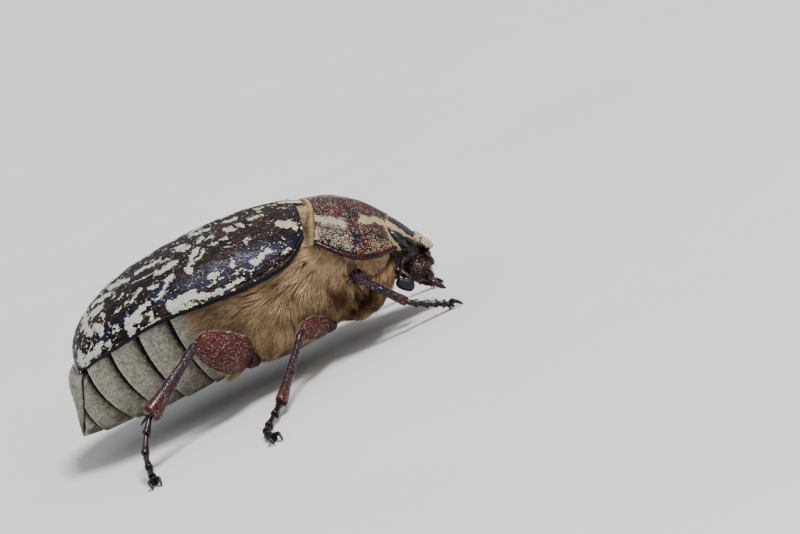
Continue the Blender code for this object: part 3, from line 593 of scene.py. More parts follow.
# The wing case's white marks: x and the distance from the midline of both ends, and the radius.
PATCHES = np.array([
    (5.8, 4.3, 6.9, 4.9, 0.60), (5.2, 7.4, 5.8, 7.3, 0.23), (4.5, 0.4, 5.2, 0.5, 0.28),
    (3.7, 2.2, 4.1, 2.4, 0.34), (2.4, 2.4, 2.6, 2.9, 0.28), (2.6, 4.7, 2.4, 5.5, 0.16),
    (2.1, 7.7, 3.9, 6.7, 0.34), (1.7, 1.1, 2.4, 1.1, 0.45), (1.5, 2.4, 1.7, 3.2, 0.28),
    (1.3, 8.3, 1.9, 8.3, 0.20), (0.9, 5.2, 1.2, 5.3, 0.17), (0.7, 3.8, 1.2, 3.8, 0.22),
    (0.6, 7.0, 0.5, 7.3, 0.25), (0.5, 8.2, 0.9, 8.0, 0.20), (-0.3, 4.0, 0.1, 3.9, 0.24),
    (-0.4, 2.8, -0.1, 2.7, 0.24), (-0.7, 9.4, 0.5, 9.1, 0.30), (-1.1, 4.2, -1.8, 5.1, 0.24),
    (-1.1, 2.5, -0.8, 2.2, 0.40), (-1.4, 0.4, -0.2, 0.8, 0.40), (-1.6, 7.8, -0.9, 7.7, 0.33),
    (-1.7, 3.6, -2.4, 4.5, 0.38), (-2.4, 4.6, -3.0, 6.3, 0.29), (-2.9, 1.6, -2.3, 2.5, 0.50),
    (-3.0, 9.3, -1.2, 9.6, 0.36), (-4.6, 4.1, -3.8, 4.0, 0.42), (-4.6, 2.7, -4.1, 2.8, 0.30),
    (-5.0, 6.1, -4.6, 5.6, 0.36), (-5.3, 6.4, -5.8, 7.4, 0.30), (-5.4, 9.0, -3.6, 8.9, 0.60),
    (-5.4, 9.8, -3.6, 9.8, 0.26), (-5.6, 3.8, -5.1, 4.4, 0.32), (-6.3, 5.6, -6.0, 5.8, 0.30),
    (-6.5, 7.2, -6.1, 7.4, 0.24), (-6.9, 1.7, -5.3, 2.1, 0.42), (-7.2, 8.4, -7.2, 9.7, 0.28),
    (-7.7, 3.2, -6.0, 3.7, 0.19), (-7.8, 5.2, -7.4, 4.9, 0.45), (-8.2, 7.4, -7.2, 7.3, 0.45),
    (-8.7, 9.6, -6.5, 9.8, 0.18), (-8.7, 5.4, -8.4, 5.4, 0.32), (-9.1, 3.8, -8.8, 3.7, 0.23),
    (-9.2, 7.3, -8.1, 8.3, 0.46), (-9.3, 8.1, -9.2, 9.2, 0.40), (-9.6, 0.4, -8.0, 1.9, 0.42),
    (-9.7, 5.0, -9.4, 5.2, 0.28), (-10.7, 6.2, -10.3, 7.1, 0.24), (-11.2, 3.6, -11.2, 4.3, 0.30),
    (-11.3, 0.4, -9.9, 1.9, 0.42), (-11.6, 7.3, -11.7, 7.6, 0.34), (-11.9, 1.8, -11.0, 2.6, 0.50),
    (-12.1, 3.6, -11.8, 5.5, 0.36), (-12.7, 0.6, -12.9, 2.3, 0.50), (-13.2, 1.5, -12.6, 4.1, 0.34),
    (-14.2, 5.4, -12.7, 6.3, 0.50), (-14.6, 3.3, -14.6, 4.6, 0.60),
])


# Markings, for the ground and for the scales on it

def wing_cover(s, t, side):
    """How closely pale scales cover the wing case, from 0 to 1: ragged patches, and dots between them."""
    x, across, edge = wing_along(s), wing_across(s, t), wing_edge(s, t)
    seed = 11 if side == RIGHT else 31
    warped_x = x + 0.26 * noise(x, across, 0.55, seed) + 0.17 * noise(x, across, 0.22, seed + 1)
    warped_x += 0.09 * noise(x, across, 0.11, seed + 6)
    warped = across + 0.20 * noise(x, across, 0.50, seed + 2) + 0.17 * noise(x, across, 0.20, seed + 3)
    warped += 0.09 * noise(x, across, 0.11, seed + 7)
    if side == LEFT:
        warped_x += 0.55 * noise(x, across, 2.2, 47)
        warped += 0.45 * noise(x, across, 1.9, 48)
    depth = np.full(x.shape, -9.0)
    for x1, across1, x2, across2, radius in PATCHES:
        x1, x2 = WING_TRACK[0, 0] - np.interp((-x1, -x2), -WING_TRACK[:, 0], WING_RUN)
        run, climb = x2 - x1, across2 - across1
        share = ((warped_x - x1) * run + (warped - across1) * climb) / (run * run + climb * climb)
        share = np.clip(share, 0, 1)
        gap = np.hypot(warped_x - x1 - share * run, warped - across1 - share * climb)
        depth = np.maximum(depth, radius - 0.04 - gap)
    filler = 0.15 * step(2.6, 0.8, edge) * step(4.5, 1.5, x) + 0.15 * (1 - step(0.5, 3.2, across))
    filler += 0.22 * step(-9.5, -14.5, x)
    dots = noise(x, across, 0.36, seed + 4, 2)
    depth = np.maximum(depth, (dots - 1.0 + 1.5 * filler) * 0.4)
    depth = np.minimum(depth, edge - 0.27)
    return step(-0.06, 0.08, depth)


def wing_band(s, t):
    """Where the wing case is smooth and blue-black, on a stretch behind the shoulder."""
    x, across = row_at(ELYTRON, s)[..., 0], wing_across(s, t)
    line = np.interp(-x, (-6.5, -3, 2, 8, 14), (6.6, 7.0, 7.6, 7.2, 5.4))
    width = np.interp(-x, (-6.5, -4, 0, 8, 14), (0.7, 0.9, 1.5, 0.9, 0.5))
    ragged = 0.35 * noise(x, across, 0.8, 3, 2)
    return 1 - step(0.60, 1.15, np.abs(across - line) / width + ragged)


def wing_rim(s, t):
    """Where the wing case's thin, smooth, black margin is."""
    return 1 - step(0.16, 0.26, wing_edge(s, t))


# Shells and skin

def make_wing_case(label, side, finish):
    s_values = stations((0, 0.04, 8), (0.04, 0.95, 208), (0.95, 1, 16))
    t_values = stations((0, 0.91, 86), (0.91, 1, 24))
    shape, (s, t, inside) = cover_shape(wing_case(side), s_values, t_values, SHELL)
    rim = np.maximum(wing_rim(s, t), inside)
    layers = {
        "cover": wing_cover(s, t, side) * ~inside,
        "smooth": np.maximum(wing_band(s, t), rim),
        "rim": rim,
    }
    add_piece(f"elytron_{label}_shell", shape, finish, [f"elytron_{label}"], layers)


def pronotum_cover(s, t):
    """How closely scales cover the pronotum: a line along its middle, a broken band on each side, specks."""
    x, across = s * PRONOTUM_LONG, np.abs(t) * PRONOTUM_ARC
    warp = 0.24 * noise(x, across, 0.5, 41 + (t < 0), 2) + 0.12 * noise(x, across, 0.16, 45)
    middle = 0.75 * (1 - step(0.06, 0.28, np.abs(across + 0.4 * warp)))
    row = np.interp(s, (0, 0.4, 0.55, 0.95), (5.35, 5.75, 5.1, 3.5))
    places, widths = (0, 0.1, 0.36, 0.42, 0.53, 0.6, 0.9, 1.0), (0.66, 0.74, 0.70, 0.0, 0.0, 0.75, 0.75, 0.5)
    wide = np.interp(s, places, widths)
    band = (1 - step(-0.34, 0.26, np.abs(across - row + warp) - wide)) * (wide > 0.05)
    cloud = 0.5 + 0.5 * noise(x, across, 0.9, 43 + (t < 0), 2)
    low = (0.16 + 0.50 * cloud) * step(6.4, 7.6, across) * (1 - step(8.7, 8.9, across))
    few = (0.02 + 0.20 * cloud) * (1 - step(8.6, 8.9, across)) * step(0.02, 0.05, s)
    bare = bump(s, 0.50, 0.065) * bump(across, 7.4 + warp, 0.6)
    gap = bump(s, 0.455, 0.06) * bump(across, 5.2, 1.0)
    return np.clip(np.maximum.reduce([middle, band, low, few]) * (1 - 1.5 * bare) * (1 - 0.9 * gap), 0, 1)


def bare_spot_with_painted_sheen(s, t):
    """Where the pronotum is bare and blue-black, with a painted blue highlight: a ragged spot low on each
    side.
    """
    x, across = s * PRONOTUM_LONG, np.abs(t) * PRONOTUM_ARC
    ragged = 0.30 * noise(x, across, 0.35, 46, 2) * bump(across, 7.4, 0.6)
    spot = bump(x, 3.75, 0.50) * bump(across, 7.35 + 0.4 * (x - 3.75), 0.42)
    return step(0.40, 0.80, spot + ragged)


def make_pronotum(finish):
    s_values = stations((0, 0.05, 7), (0.05, 0.95, 74), (0.95, 1, 11))
    half = stations((0, 0.92, 72), (0.92, 1, 18))
    shape, (s, t, inside) = cover_shape(pronotum, s_values, np.append(-half[:0:-1], half), SHELL)
    rim = 1 - step(0.25, 0.45, (1 - np.abs(t)) * PRONOTUM_ARC)
    layers = {
        "cover": pronotum_cover(s, t) * ~inside * (1 - rim),
        "smooth": np.maximum.reduce([rim, inside, bare_spot_with_painted_sheen(s, t)]),
        # dark: the bare spot, blue-black with a painted blue highlight.
        "dark": bare_spot_with_painted_sheen(s, t) * (1 - rim),
    }
    add_piece("pronotum_shell", shape, finish, ["pronotum"], layers)


def scutellum(s, t):
    """A rounded triangle, level with the wing cases beside it."""
    half = SCUTELLUM_HALF * (1 - s) ** 0.7 + 0.12 * s
    y = half * t
    top = 13.30 + 0.92 * s ** 0.8 - 0.16 * (y / SCUTELLUM_HALF) ** 2 - 0.06 * bump(t, 0.0, 0.12)
    return np.stack([SCUTELLUM_BASE + (SCUTELLUM_TIP + 0.25 - SCUTELLUM_BASE) * s, y, top], -1)


def make_scutellum(finish, scale_finish):
    """The small plate between the bases of the wing cases, scaled on both sides of its middle."""
    shape, (s, t, inside) = cover_shape(scutellum, np.linspace(0, 0.999, 50), np.linspace(-1, 1, 51), PLATE)
    layers = {"cover": scutellum_cover(s, t) * ~inside, "smooth": inside, "rim": inside}
    add_piece("scutellum_plate", shape, finish, ["scutellum"], layers)
    s, t, random = sown(40, 44, 550)
    t = 2 * t - 1
    keep = random.random(len(s)) < scutellum_cover(s, t) * (1 - s) ** 0.7
    s, t = s[keep], t[keep]
    here, along, _, out = slopes(scutellum, s, t)
    tufts = laid(random, here, out, unit(along),
                 sway=0.4, lengths=(0.14, 0.20), widths=(0.06, 0.09), lift=0.03)
    tones = varied(random, 0.4, 0.2, len(s))
    add_coat("scutellum_scales", tufts, np.stack([s, (t + 1) / 2], -1), tones, scale_finish)


def scutellum_cover(s, t):
    """Where scales lie on the scutellum: on both sides of its middle, short of its tip."""
    ragged = 0.30 * noise(s * 3, t * 2, 0.35, 57, 2)
    patches = 1 - step(0.22, 0.50, np.abs(np.abs(t) - 0.56 + ragged))
    return patches * (1 - step(0.72, 0.92, s + ragged)) * step(0.03, 0.12, s)


def pygidium(s, t):
    """The shield behind the wing cases, down to the tail."""
    x_mid, x_edge, half, z = np.moveaxis(row_at(PYGIDIUM, s), -1, 0)
    turn = t * math.pi / 2
    return np.stack([x_mid + (x_edge - x_mid) * (1 - np.cos(turn)) ** 1.2, half * np.sin(turn), z], -1)


def pygidium_tone(s, t):
    return np.clip(0.72 - 0.30 * step(0.5, 1.0, s) - 0.30 * step(0.75, 1.0, np.abs(t)), 0, 1)


def make_pygidium(finish, down_finish):
    """The shield, with painted shade in the groove round it, and its down."""
    centre = (-10.0, 0.0, 6.5)
    s_values, t_values = np.linspace(0, 0.999, 60), np.linspace(-1, 1, 61)
    shape, (s, t, inside) = cover_shape(pygidium, s_values, t_values, PLATE, centre)
    layers = {
        # dark: painted shade in the groove round the shield.
        "dark": step(0.93, 0.99, np.abs(t)) * ~inside,
        "under": np.zeros(len(s)),
        "pale": pygidium_tone(s, t),
    }
    add_piece("pygidium_plate", shape, finish, ["pygidium"], layers)
    s, t, random = sown(74, 110, 340)
    t = 1.88 * t - 0.94
    keep = random.random(len(s)) < row_at(PYGIDIUM, s)[:, 2] / PYGIDIUM[:, 2].max()
    s, t = s[keep], t[keep]
    here, _, _, out = slopes(pygidium, s, t, centre)
    tufts = laid(random, here, out, np.array((-0.2, 0.0, -1.0)),
                 sway=0.30, lengths=(0.14, 0.30), widths=(0.035, 0.055), lift=0.035)
    grain = 0.18 * noise(here[:, 1], here[:, 2], 0.4, 96, 3)
    tones = varied(random, pygidium_tone(s, t) + grain, 0.22, len(s))
    add_coat("pygidium_down", tufts, np.stack([s, (t + 1) / 2], -1), tones, down_finish)


def make_skin(finish):
    """One skin for the hairy thorax and the abdomen, whose segments step under one another."""
    share = np.concatenate([
        (0, 0.02, 0.05, 0.08), np.linspace(0.12, 0.9, 12), (0.93, 0.955, 0.97, 0.98, 0.99, 0.998),
    ])
    back = [FIRST_SEGMENT + (1 - FIRST_SEGMENT) * (k + share) / SEGMENTS for k in range(SEGMENTS)]
    u = np.concatenate([np.linspace(0, FIRST_SEGMENT, 40)[:-1], *back])
    turn = np.linspace(0, 2 * math.pi, 160, endpoint=False)
    u, turn = np.meshgrid(u, turn, indexing="ij")
    layers = {
        # dark: painted shade in the folds between the segments, over their dark membranes.
        "dark": segment_fold_and_shade(u, turn),
        "under": 1 - step(-0.02, 0.01, u - FIRST_SEGMENT),
        # pale: painted light and shade over the abdomen's segments.
        "pale": abdomen_painted_shading(u, -np.arcsin(np.sin(turn))),
    }
    layers = {name: np.append(values, values[[0, -1], 0]) for name, values in layers.items()}
    add_piece("trunk_skin", loft(trunk(u, turn)), finish, ["thorax", "prothorax", "abdomen"], layers)


def abdomen_painted_shading(u, down):
    """How pale the abdomen is, as painted light and shade: each segment brightens from its shaded front to its
    hind edge, and all darken to the belly.
    """
    share = segment_share(u)
    rise = 0.16 + 0.66 * step(-0.05, 0.55, share) + 0.20 * step(0.84, 0.97, share)
    return np.clip(rise * (1.0 - 0.62 * step(0.35, 1.25, down)) * (1 + 0.20 * step(0.3, -0.3, down)), 0, 1)


def scatter(shape, count, random):
    """Random places all over a shape, with the outward direction at each."""
    points, face_sets = shape
    corners = np.concatenate([
        faces[:, [0, k, k + 1]] for faces in face_sets for k in range(1, faces.shape[1] - 1)
    ])
    a, b, c = points[corners].transpose(1, 0, 2)
    normal = np.cross(b - a, c - a)
    area = np.linalg.norm(normal, axis=1)
    pick = random.choice(len(area), count, p=area / area.sum())
    i, j = np.sqrt(random.random(count))[:, None], random.random(count)[:, None]
    places = a[pick] * (1 - i) + (b[pick] * (1 - j) + c[pick] * j) * i
    return places, normal[pick] / area[pick, None] * np.sign(volume(points, face_sets))


def round_axis(places, start, end):
    """An unwrap of a limb: how far along its axis a place is, and the angle round it."""
    axis = unit(end - start)
    first = unit(np.cross(axis, (0.3, 0.2, 0.9)))
    away = places - start
    angle = np.arctan2(away @ np.cross(axis, first), away @ first) / (2 * math.pi) + 0.5
    return np.stack([np.clip(away @ axis / np.linalg.norm(end - start), 0, 1), angle], -1)


def bristled(name, shape, start, end, count, length, lean, finish, seed, wide=None):
    """Bristles on a limb: they point along it and lean out. With wide, most stand along its two edges."""
    random = np.random.default_rng(seed)
    places, outs = scatter(shape, count, random)
    if wide is not None:
        keep = random.random(count) < 0.30 + 0.70 * np.abs(outs @ wide) ** 0.8
        places, outs = places[keep], outs[keep]
    count = len(places)
    aims = unit(end - start) + lean * outs + 0.20 * random.normal(0, 1, places.shape)
    lengths = length * random.uniform(0.6, 1.3, count)
    paths = curved(places - 0.01 * outs, outs, aims, lengths, droop=0.25 * lean)
    tones = varied(random, 0.4, 0.35, count)
    widths = random.uniform(0.022, 0.038, count) * (1.0 if wide is None else 1.5)
    add_coat(name, hairs(paths, outs, widths), round_axis(places, start, end), tones, finish)


def segment_share(u):
    """How far along its own segment of the abdomen a place lies."""
    f = (u - FIRST_SEGMENT) / (1 - FIRST_SEGMENT) * SEGMENTS
    return f - np.floor(f)


def segment_fold_and_shade(u, turn):
    """Where the fold behind each segment's edge shows, painted as shade over its dark membrane, wider towards
    the back.
    """
    reach = 0.10 + 0.16 * step(-0.9, -0.1, np.sin(turn))
    ragged = 0.03 * noise(turn * 7, u * 30, 0.5, 8)
    return (1 - step(0.04, reach, segment_share(u) + ragged)) * (u >= FIRST_SEGMENT)


def hairs(paths, outs, widths):
    """Three-sided pointed hairs along paths, an array (hair, point, xyz), flattened across outs."""
    count, steps = paths.shape[:2]
    ahead = unit(np.gradient(paths, axis=1))
    side = unit(np.cross(ahead, outs[:, None]))
    rise = np.cross(side, ahead) * 0.6
    share = np.linspace(0, 1, steps)
    sizes = widths[:, None] / 2 * np.interp(share, (0, 0.4, 0.75, 1), (0.8, 1.0, 0.65, 0.0))
    turns = np.radians((90, 210, 330))[:, None]
    ring = side[:, :-1, None] * np.cos(turns) + rise[:, :-1, None] * np.sin(turns)
    ring = paths[:, :-1, None] + ring * sizes[:, :-1, None, None]
    points = np.concatenate([ring.reshape(count, -1, 3), paths[:, -1:]], 1)
    index = np.arange(3 * (steps - 1)).reshape(-1, 3)
    a, b, tip = index[:-1], index[1:], index.size
    quads = np.stack([a, np.roll(a, -1, 1), np.roll(b, -1, 1), b], -1).reshape(-1, 4)
    ends = np.array([index[0][::-1], *([index[-1][k], index[-1][k - 2], tip] for k in range(3))])
    along, across = np.repeat(share[:-1], 3), np.tile(np.cos(turns[:, 0]), steps - 1)
    return points, [quads, ends], np.stack([np.append(along, 1.0), np.append(across, 0.0)], -1)


def curved(places, outs, aims, lengths, droop, rise=0.0):
    """Paths of three points along aims, which stand up by rise at first and then droop more and more."""
    reach = np.linspace(0, 1, 3)[None, :, None] * lengths[:, None, None]
    return places[:, None] + unit(aims)[:, None] * reach + outs[:, None] * (rise * reach - droop * reach ** 2)


def leaves(places, outs, headings, lengths, widths, lift):
    """Small raised leaves that lie on a surface, for scales and short flat hair."""
    ahead = unit(headings - outs * (headings * outs).sum(-1, keepdims=True))
    left = np.cross(outs, ahead)
    ahead, left = ahead * lengths[:, None], left * widths[:, None] / 2
    root = places - ahead * 0.4 + outs * 0.004
    sides = [places + left * sign + outs * lift * 0.5 for sign in (1, -1)]
    tip = places + ahead * 0.6 + outs * lift
    crest = places + outs * (lift * 0.6 + widths[:, None] * 0.22)
    points = np.stack([root, *sides, tip, crest], 1)
    faces = np.array([(0, 2, 4), (2, 3, 4), (3, 1, 4), (1, 0, 4), (0, 1, 3), (0, 3, 2)])
    return points, [faces], np.array([(0, 0), (0.4, 1), (0.4, -1), (1, 0), (0.5, 0)])


def laid(random, places, outs, heading, sway, lengths, widths, lift):
    """Leaves on a surface that more or less follow a heading, with sizes between the given ones."""
    headings = heading + sway * random.normal(0, 1, places.shape)
    lengths, widths = (random.uniform(*limits, len(places)) for limits in (lengths, widths))
    return leaves(places, outs, headings, lengths, widths, lift)


def varied(random, middle, spread, count):
    """Tones that vary round the middle ones, from 0 to 1."""
    return np.clip(middle + spread * random.normal(0, 1, count), 0, 1)


TUFT_PATCH = 0.003  # size of a tuft on the coat's map


def add_coat(name, tufts, roots, tones, finish):
    """A piece of coat. roots says where each tuft stands on the unwrapped skin, in shares of its sides."""
    points, face_sets, patch = tufts
    count, each = points.shape[:2]
    first = (np.arange(count) * each)[:, None, None]
    face_sets = [(faces + first).reshape(-1, faces.shape[1]) for faces in face_sets]
    spread = (patch - (0.5, 0)) * (TUFT_PATCH, TUFT_PATCH / 2)
    uv = (0.01 + 0.98 * roots)[:, None] + spread
    layers = {"out": np.tile(patch[:, 0], count), "tone": np.repeat(tones, each)}
    add_piece(name, (points.reshape(-1, 3), face_sets), finish, (), layers, uv.reshape(-1, 2))


def sown(rows, columns, seed):
    """One place in each cell of a grid over the unit square, and a random generator for the rest."""
    random = np.random.default_rng(seed)
    i, j = np.meshgrid(np.arange(rows), np.arange(columns), indexing="ij")
    return (i.ravel() + random.random(i.size)) / rows, (j.ravel() + random.random(i.size)) / columns, random


def walk(surface, u, v, aims, lengths, steps):
    """Paths on a surface from u, v along the directions in aims, and the outward ones at their starts."""
    points = []
    for k in range(steps):
        here, along, around, out = slopes(surface, u, v)
        points.append(here)
        if k == 0:
            outs = out
        aa, ab, bb = (along * along).sum(-1), (along * around).sum(-1), (around * around).sum(-1)
        pa, pb = (along * aims).sum(-1), (around * aims).sum(-1)
        du, dv = (bb * pa - ab * pb), (aa * pb - ab * pa)
        pace = lengths / (steps - 1) / np.linalg.norm(along * du[:, None] + around * dv[:, None], axis=-1)
        u, v = u + du * pace, v + dv * pace
    return np.stack(points, 1), outs


def combed(surface, u, v, aims, lengths, widths, random, rise, clump, pull, steps=4):
    """Long hair that follows a surface, lifts off it by rise, and gathers in clumps towards its tips."""
    share = np.linspace(0, 1, steps)
    paths, outs = walk(surface, u, v, aims, lengths, steps)
    heights = (rise * random.uniform(0.55, 1.25, len(u)))[:, None]
    lifts = np.interp(share, (0, 0.3, 1), (-0.1, 0.6, 1.0)) * heights
    paths = paths + outs[:, None] * lifts[..., None]
    start = paths[:, 0]
    warp = np.stack([noise(start[:, 0], start[:, 2], clump * 1.4, seed) for seed in (71, 72, 73)], -1)
    cells = np.floor((start + 0.35 * clump * warp) / clump).astype(np.int64)
    group = np.unique(cells, axis=0, return_inverse=True)[1].ravel()
    size = np.bincount(group)
    for k in range(1, steps):
        middle = np.stack([np.bincount(group, paths[:, k, axis]) / size for axis in range(3)], -1)[group]
        strength = (pull * share[k] ** 1.5 * random.uniform(0.3, 1.3, len(u)))[:, None]
        paths[:, k] += (middle - paths[:, k]) * np.clip(strength, 0, 1)
    tones = 0.5 + 0.14 * random.normal(0, 1, len(size))[group]
    return hairs(paths, outs, widths), varied(random, tones, 0.20, len(u))


def swept(lean, aside=0.0):
    """Directions to the rear that lean down by an angle in degrees."""
    lean = np.radians(lean)
    return np.stack(np.broadcast_arrays(-np.cos(lean), aside, -np.sin(lean)), -1)


def fur_aims(points, side):
    """The lie of the long hair: rearwards on the upper flank, more and more down below it, with whorls."""
    x, z = points[:, 0], points[:, 2]
    lean = 8 + 58 * step(8.8, 5.4, z - 0.12 * x) + 26 * noise(x, z, 1.8, 81, 2) + 12 * noise(x, z, 0.7, 83)
    return swept(lean, 0.15 * side * noise(x, z, 1.1, 82))


def chest_shade(points):
    """How pale the chest's hair is: brown, with painted shade, round the front hips; painted shade in creases;
    golden elsewhere.
    """
    x, z = points[:, 0], points[:, 2]
    warp = 0.5 * noise(x, z, 1.2, 88, 2)
    # behind and below: the hair's own brown round the front hips, with painted shade under the front legs.
    behind = bump(x + warp, 7.7, 1.0) * bump(z, 5.8, 1.1)
    below = bump(x + warp, 9.4, 1.5) * bump(z + warp, 4.6, 1.1)
    # crease: painted shade in the creases between masses of hair.
    crease = step(0.80, 1.0, 1 - np.abs(noise(x, z, 2.3, 89, 2)))
    return 0.74 + 0.28 * noise(x, z, 1.1, 87, 2) - 0.85 * np.maximum(behind, below) - 0.30 * crease


def make_fur(label, side, finish):
    """The long golden hair of the thorax, which ends in points over the abdomen. It comes in two pieces."""
    surface = flank(side)
    front, back, bottom = 0.20, FIRST_SEGMENT + 0.012, 1.67
    for part in range(2):
        u, v, random = sown(127, 72, 100 + part + 10 * side)
        place, top = front + (back - front) * u, -0.42 - 0.45 * (1 - step(0.0, 0.35, u))
        down = top + (bottom - top) * v
        start = surface(place, down)
        lengths = random.uniform(1.3, 2.6, len(u)) * (1 - 0.20 * v)
        widths = random.uniform(0.032, 0.060, len(u))
        rise = 0.58 * (1 + 0.45 * noise(start[:, 0], start[:, 2], 1.7, 84))
        tufts, tones = combed(surface, place, down, fur_aims(start, side), lengths, widths, random,
                              rise=rise, clump=0.60, pull=0.60)
        # The top rows darken: painted shade under the wing cases' margin.
        tones = np.clip(0.6 * (tones - 0.5) + chest_shade(start) - 0.25 * step(0.25, 0.05, v), 0, 1)
        add_coat(f"fur_{label}_{part}", tufts, np.stack([u, v], -1), tones, finish)


def make_nape(label, side, finish):
    """Hair that fills the gap on the back between the pronotum and the bases of the wing cases."""
    surface = flank(side)
    u, v, random = sown(34, 84, 150 + side)
    place, down = 0.19 + 0.115 * u, -1.56 + 1.20 * v
    aims = np.array((-1.0, 0.0, -0.1)) + 0.15 * random.normal(0, 1, (len(u), 3))
    lengths = random.uniform(0.9, 1.5, len(u))
    rise = 0.55 + 0.70 * step(-0.6, -1.1, down)
    widths = random.uniform(0.045, 0.07, len(u))
    tufts, tones = combed(surface, place, down, aims, lengths, widths, random,
                          rise=rise, clump=0.4, pull=0.4, steps=3)
    add_coat(f"nape_{label}", tufts, np.stack([u, v], -1), np.clip(tones + 0.25, 0, 1), finish)


def make_breast(label, side, finish):
    """The shaggy hair of the prothorax: golden in front, and brown with painted shade round the front hips."""
    surface = flank(side)
    u, v, random = sown(78, 94, 200 + side)
    place, down = 0.020 + 0.215 * u, 0.22 + 1.44 * v
    start = surface(place, down)
    x, z = start[:, 0], start[:, 2]
    aims = swept(66 + 34 * noise(x, z, 1.2, 91, 2), 0.30 * noise(x, z, 0.9, 92))
    lengths = random.uniform(1.1, 2.6, len(u)) * (0.5 + 0.5 * step(0.0, 0.25, v))
    rise = 0.68 + 0.42 * noise(x, z, 1.0, 94)
    widths = random.uniform(0.034, 0.060, len(u))
    tufts, tones = combed(surface, place, down, aims, lengths, widths, random,
                          rise=rise, clump=0.75, pull=0.85)
    tones = np.clip(0.8 * (tones - 0.5) + chest_shade(start) - 0.05, 0, 1)
    add_coat(f"breast_{label}", tufts, np.stack([u, v], -1), tones, finish)


def make_nap(label, side, finish):
    """Short, pale, close hair on the side plate under the pronotum's rim."""
    surface = flank(side)
    u, v, random = sown(104, 38, 250 + side)
    place, down = 0.015 + 0.215 * u, -0.30 + 0.62 * v
    start = surface(place, down)
    aims = swept(60 + 30 * noise(start[:, 0], start[:, 2], 1.0, 97, 2))
    lengths = random.uniform(0.40, 0.75, len(u))
    widths = random.uniform(0.035, 0.06, len(u))
    tufts, tones = combed(surface, place, down, aims, lengths, widths, random,
                          rise=0.22, clump=0.3, pull=0.3, steps=3)
    add_coat(f"nap_{label}", tufts, np.stack([u, v], -1), np.clip(tones + 0.05, 0, 1), finish)


def make_down(label, side, finish):
    """Short flat hair on the abdomen, thin in the folds between the segments."""
    surface = flank(side)
    u, v, random = sown(214, 96, 300 + side)
    place, down = FIRST_SEGMENT + (0.988 - FIRST_SEGMENT) * u, -0.50 + 2.05 * v
    gap = segment_fold_and_shade(place, -down if side == LEFT else math.pi + down)
    keep = (random.random(len(u)) > 0.93 * gap) & (segment_share(place) < 0.985)
    place, down, u, v = (values[keep] for values in (place, down, u, v))
    here, _, _, out = slopes(surface, place, down)
    tufts = laid(random, here, out, np.array((-1.0, 0.0, -0.35)),
                 sway=0.35, lengths=(0.12, 0.25), widths=(0.032, 0.050), lift=0.025)
    grain = 0.34 * noise(here[:, 0], here[:, 2], 0.4, 95, 3)
    # The down takes the same painted light and shade as the skin under it.
    tones = varied(random, abdomen_painted_shading(place, down) + grain, 0.22, len(u))
    add_coat(f"down_{label}", tufts, np.stack([u, v], -1), tones, finish)


def make_wing_scales(label, side, finish):
    surface = wing_case(side)
    s, t, random = sown(262, 122, 400 + side)
    full = row_at(ELYTRON, s)[:, 3] / ELYTRON[:, 3].max()
    stray = 0.012 * (t < 0.95)
    keep = random.random(len(s)) < full * np.maximum(wing_cover(s, t, side), stray)
    s, t = s[keep], t[keep]
    here, along, _, out = slopes(surface, s, t)
    tufts = laid(random, here, out, unit(along),
                 sway=0.45, lengths=(0.14, 0.22), widths=(0.065, 0.10), lift=0.03)
    warm = step(-4, 7, here[:, 0]) * step(0.7, 0.3, t) + bump(here[:, 0], 6.5, 2.0) * bump(t, 0.5, 0.25)
    tones = varied(random, 0.15 + 0.6 * warm, 0.2, len(s))
    add_coat(f"elytron_{label}_scales", tufts, np.stack([s, t], -1), tones, finish)


def make_pronotum_scales(finish):
    s, t, random = sown(96, 240, 500)
    t = 2 * t - 1
    full = row_at(PRONOTUM, s)[:, 3] / PRONOTUM[:, 3].max()
    keep = random.random(len(s)) < full * pronotum_cover(s, t)
    s, t = s[keep], t[keep]
    here, along, _, out = slopes(pronotum, s, t)
    tufts = laid(random, here, out, -unit(along),
                 sway=0.6, lengths=(0.11, 0.18), widths=(0.045, 0.07), lift=0.03)
    tones = varied(random, 0.2 + 0.7 * step(0.45, 0.75, s), 0.2, len(s))
    add_coat("pronotum_scales", tufts, np.stack([s, (t + 1) / 2], -1), tones, finish)


# The fringes: name, place along the pronotum, direction, seed, and the limits of the length.
FRINGES = (
    ("hind_fringe", 0.004, (-1.0, 0.0, 0.05), 1011, (0.60, 1.10)),
    ("front_fringe", 0.985, (0.7, 0.0, -0.8), 1012, (0.32, 0.62)),
)


def make_fringes(finish):
    """Close hair along the pronotum's hind and front margins, shorter over its top."""
    for name, place, aim, seed, limits in FRINGES:
        s, t, random = sown(7, 400, seed)
        t = 1.98 * t - 0.99
        size = 0.60 + 0.40 * step(0.25, 0.6, np.abs(t))
        here, _, _, out = slopes(pronotum, np.full(len(t), place), t)
        start = here - out * (0.06 + 0.25 * s[:, None])
        sway = 0.25 * np.stack([noise(t * 9, s, 0.6, 621 + axis) for axis in range(3)], -1)
        aims = aim + 0.13 * random.normal(0, 1, here.shape) + sway + out * (0.0, 0.10, 0.10)
        paths = curved(start, out, aims, size * random.uniform(*limits, len(t)), droop=0.25, rise=0.20)
        tones = varied(random, 0.7, 0.3, len(t))
        widths = random.uniform(0.026, 0.044, len(t))
        add_coat(name, hairs(paths, out, widths), np.stack([s, (t + 1) / 2], -1), tones, finish)


# Head

def ball(centre, radii, steps=14, sides=24):
    """An ellipsoid in the head's frame."""
    a = np.linspace(0, math.pi, steps + 2)[1:-1, None]
    b = np.linspace(0, 2 * math.pi, sides, endpoint=False)[None]
    d, y, h = np.sin(a) * np.cos(b), np.cos(a) + 0 * b, np.sin(a) * np.sin(b)
    return loft(head_place(centre[0] + radii[0] * d, centre[1] + radii[1] * y, centre[2] + radii[2] * h))


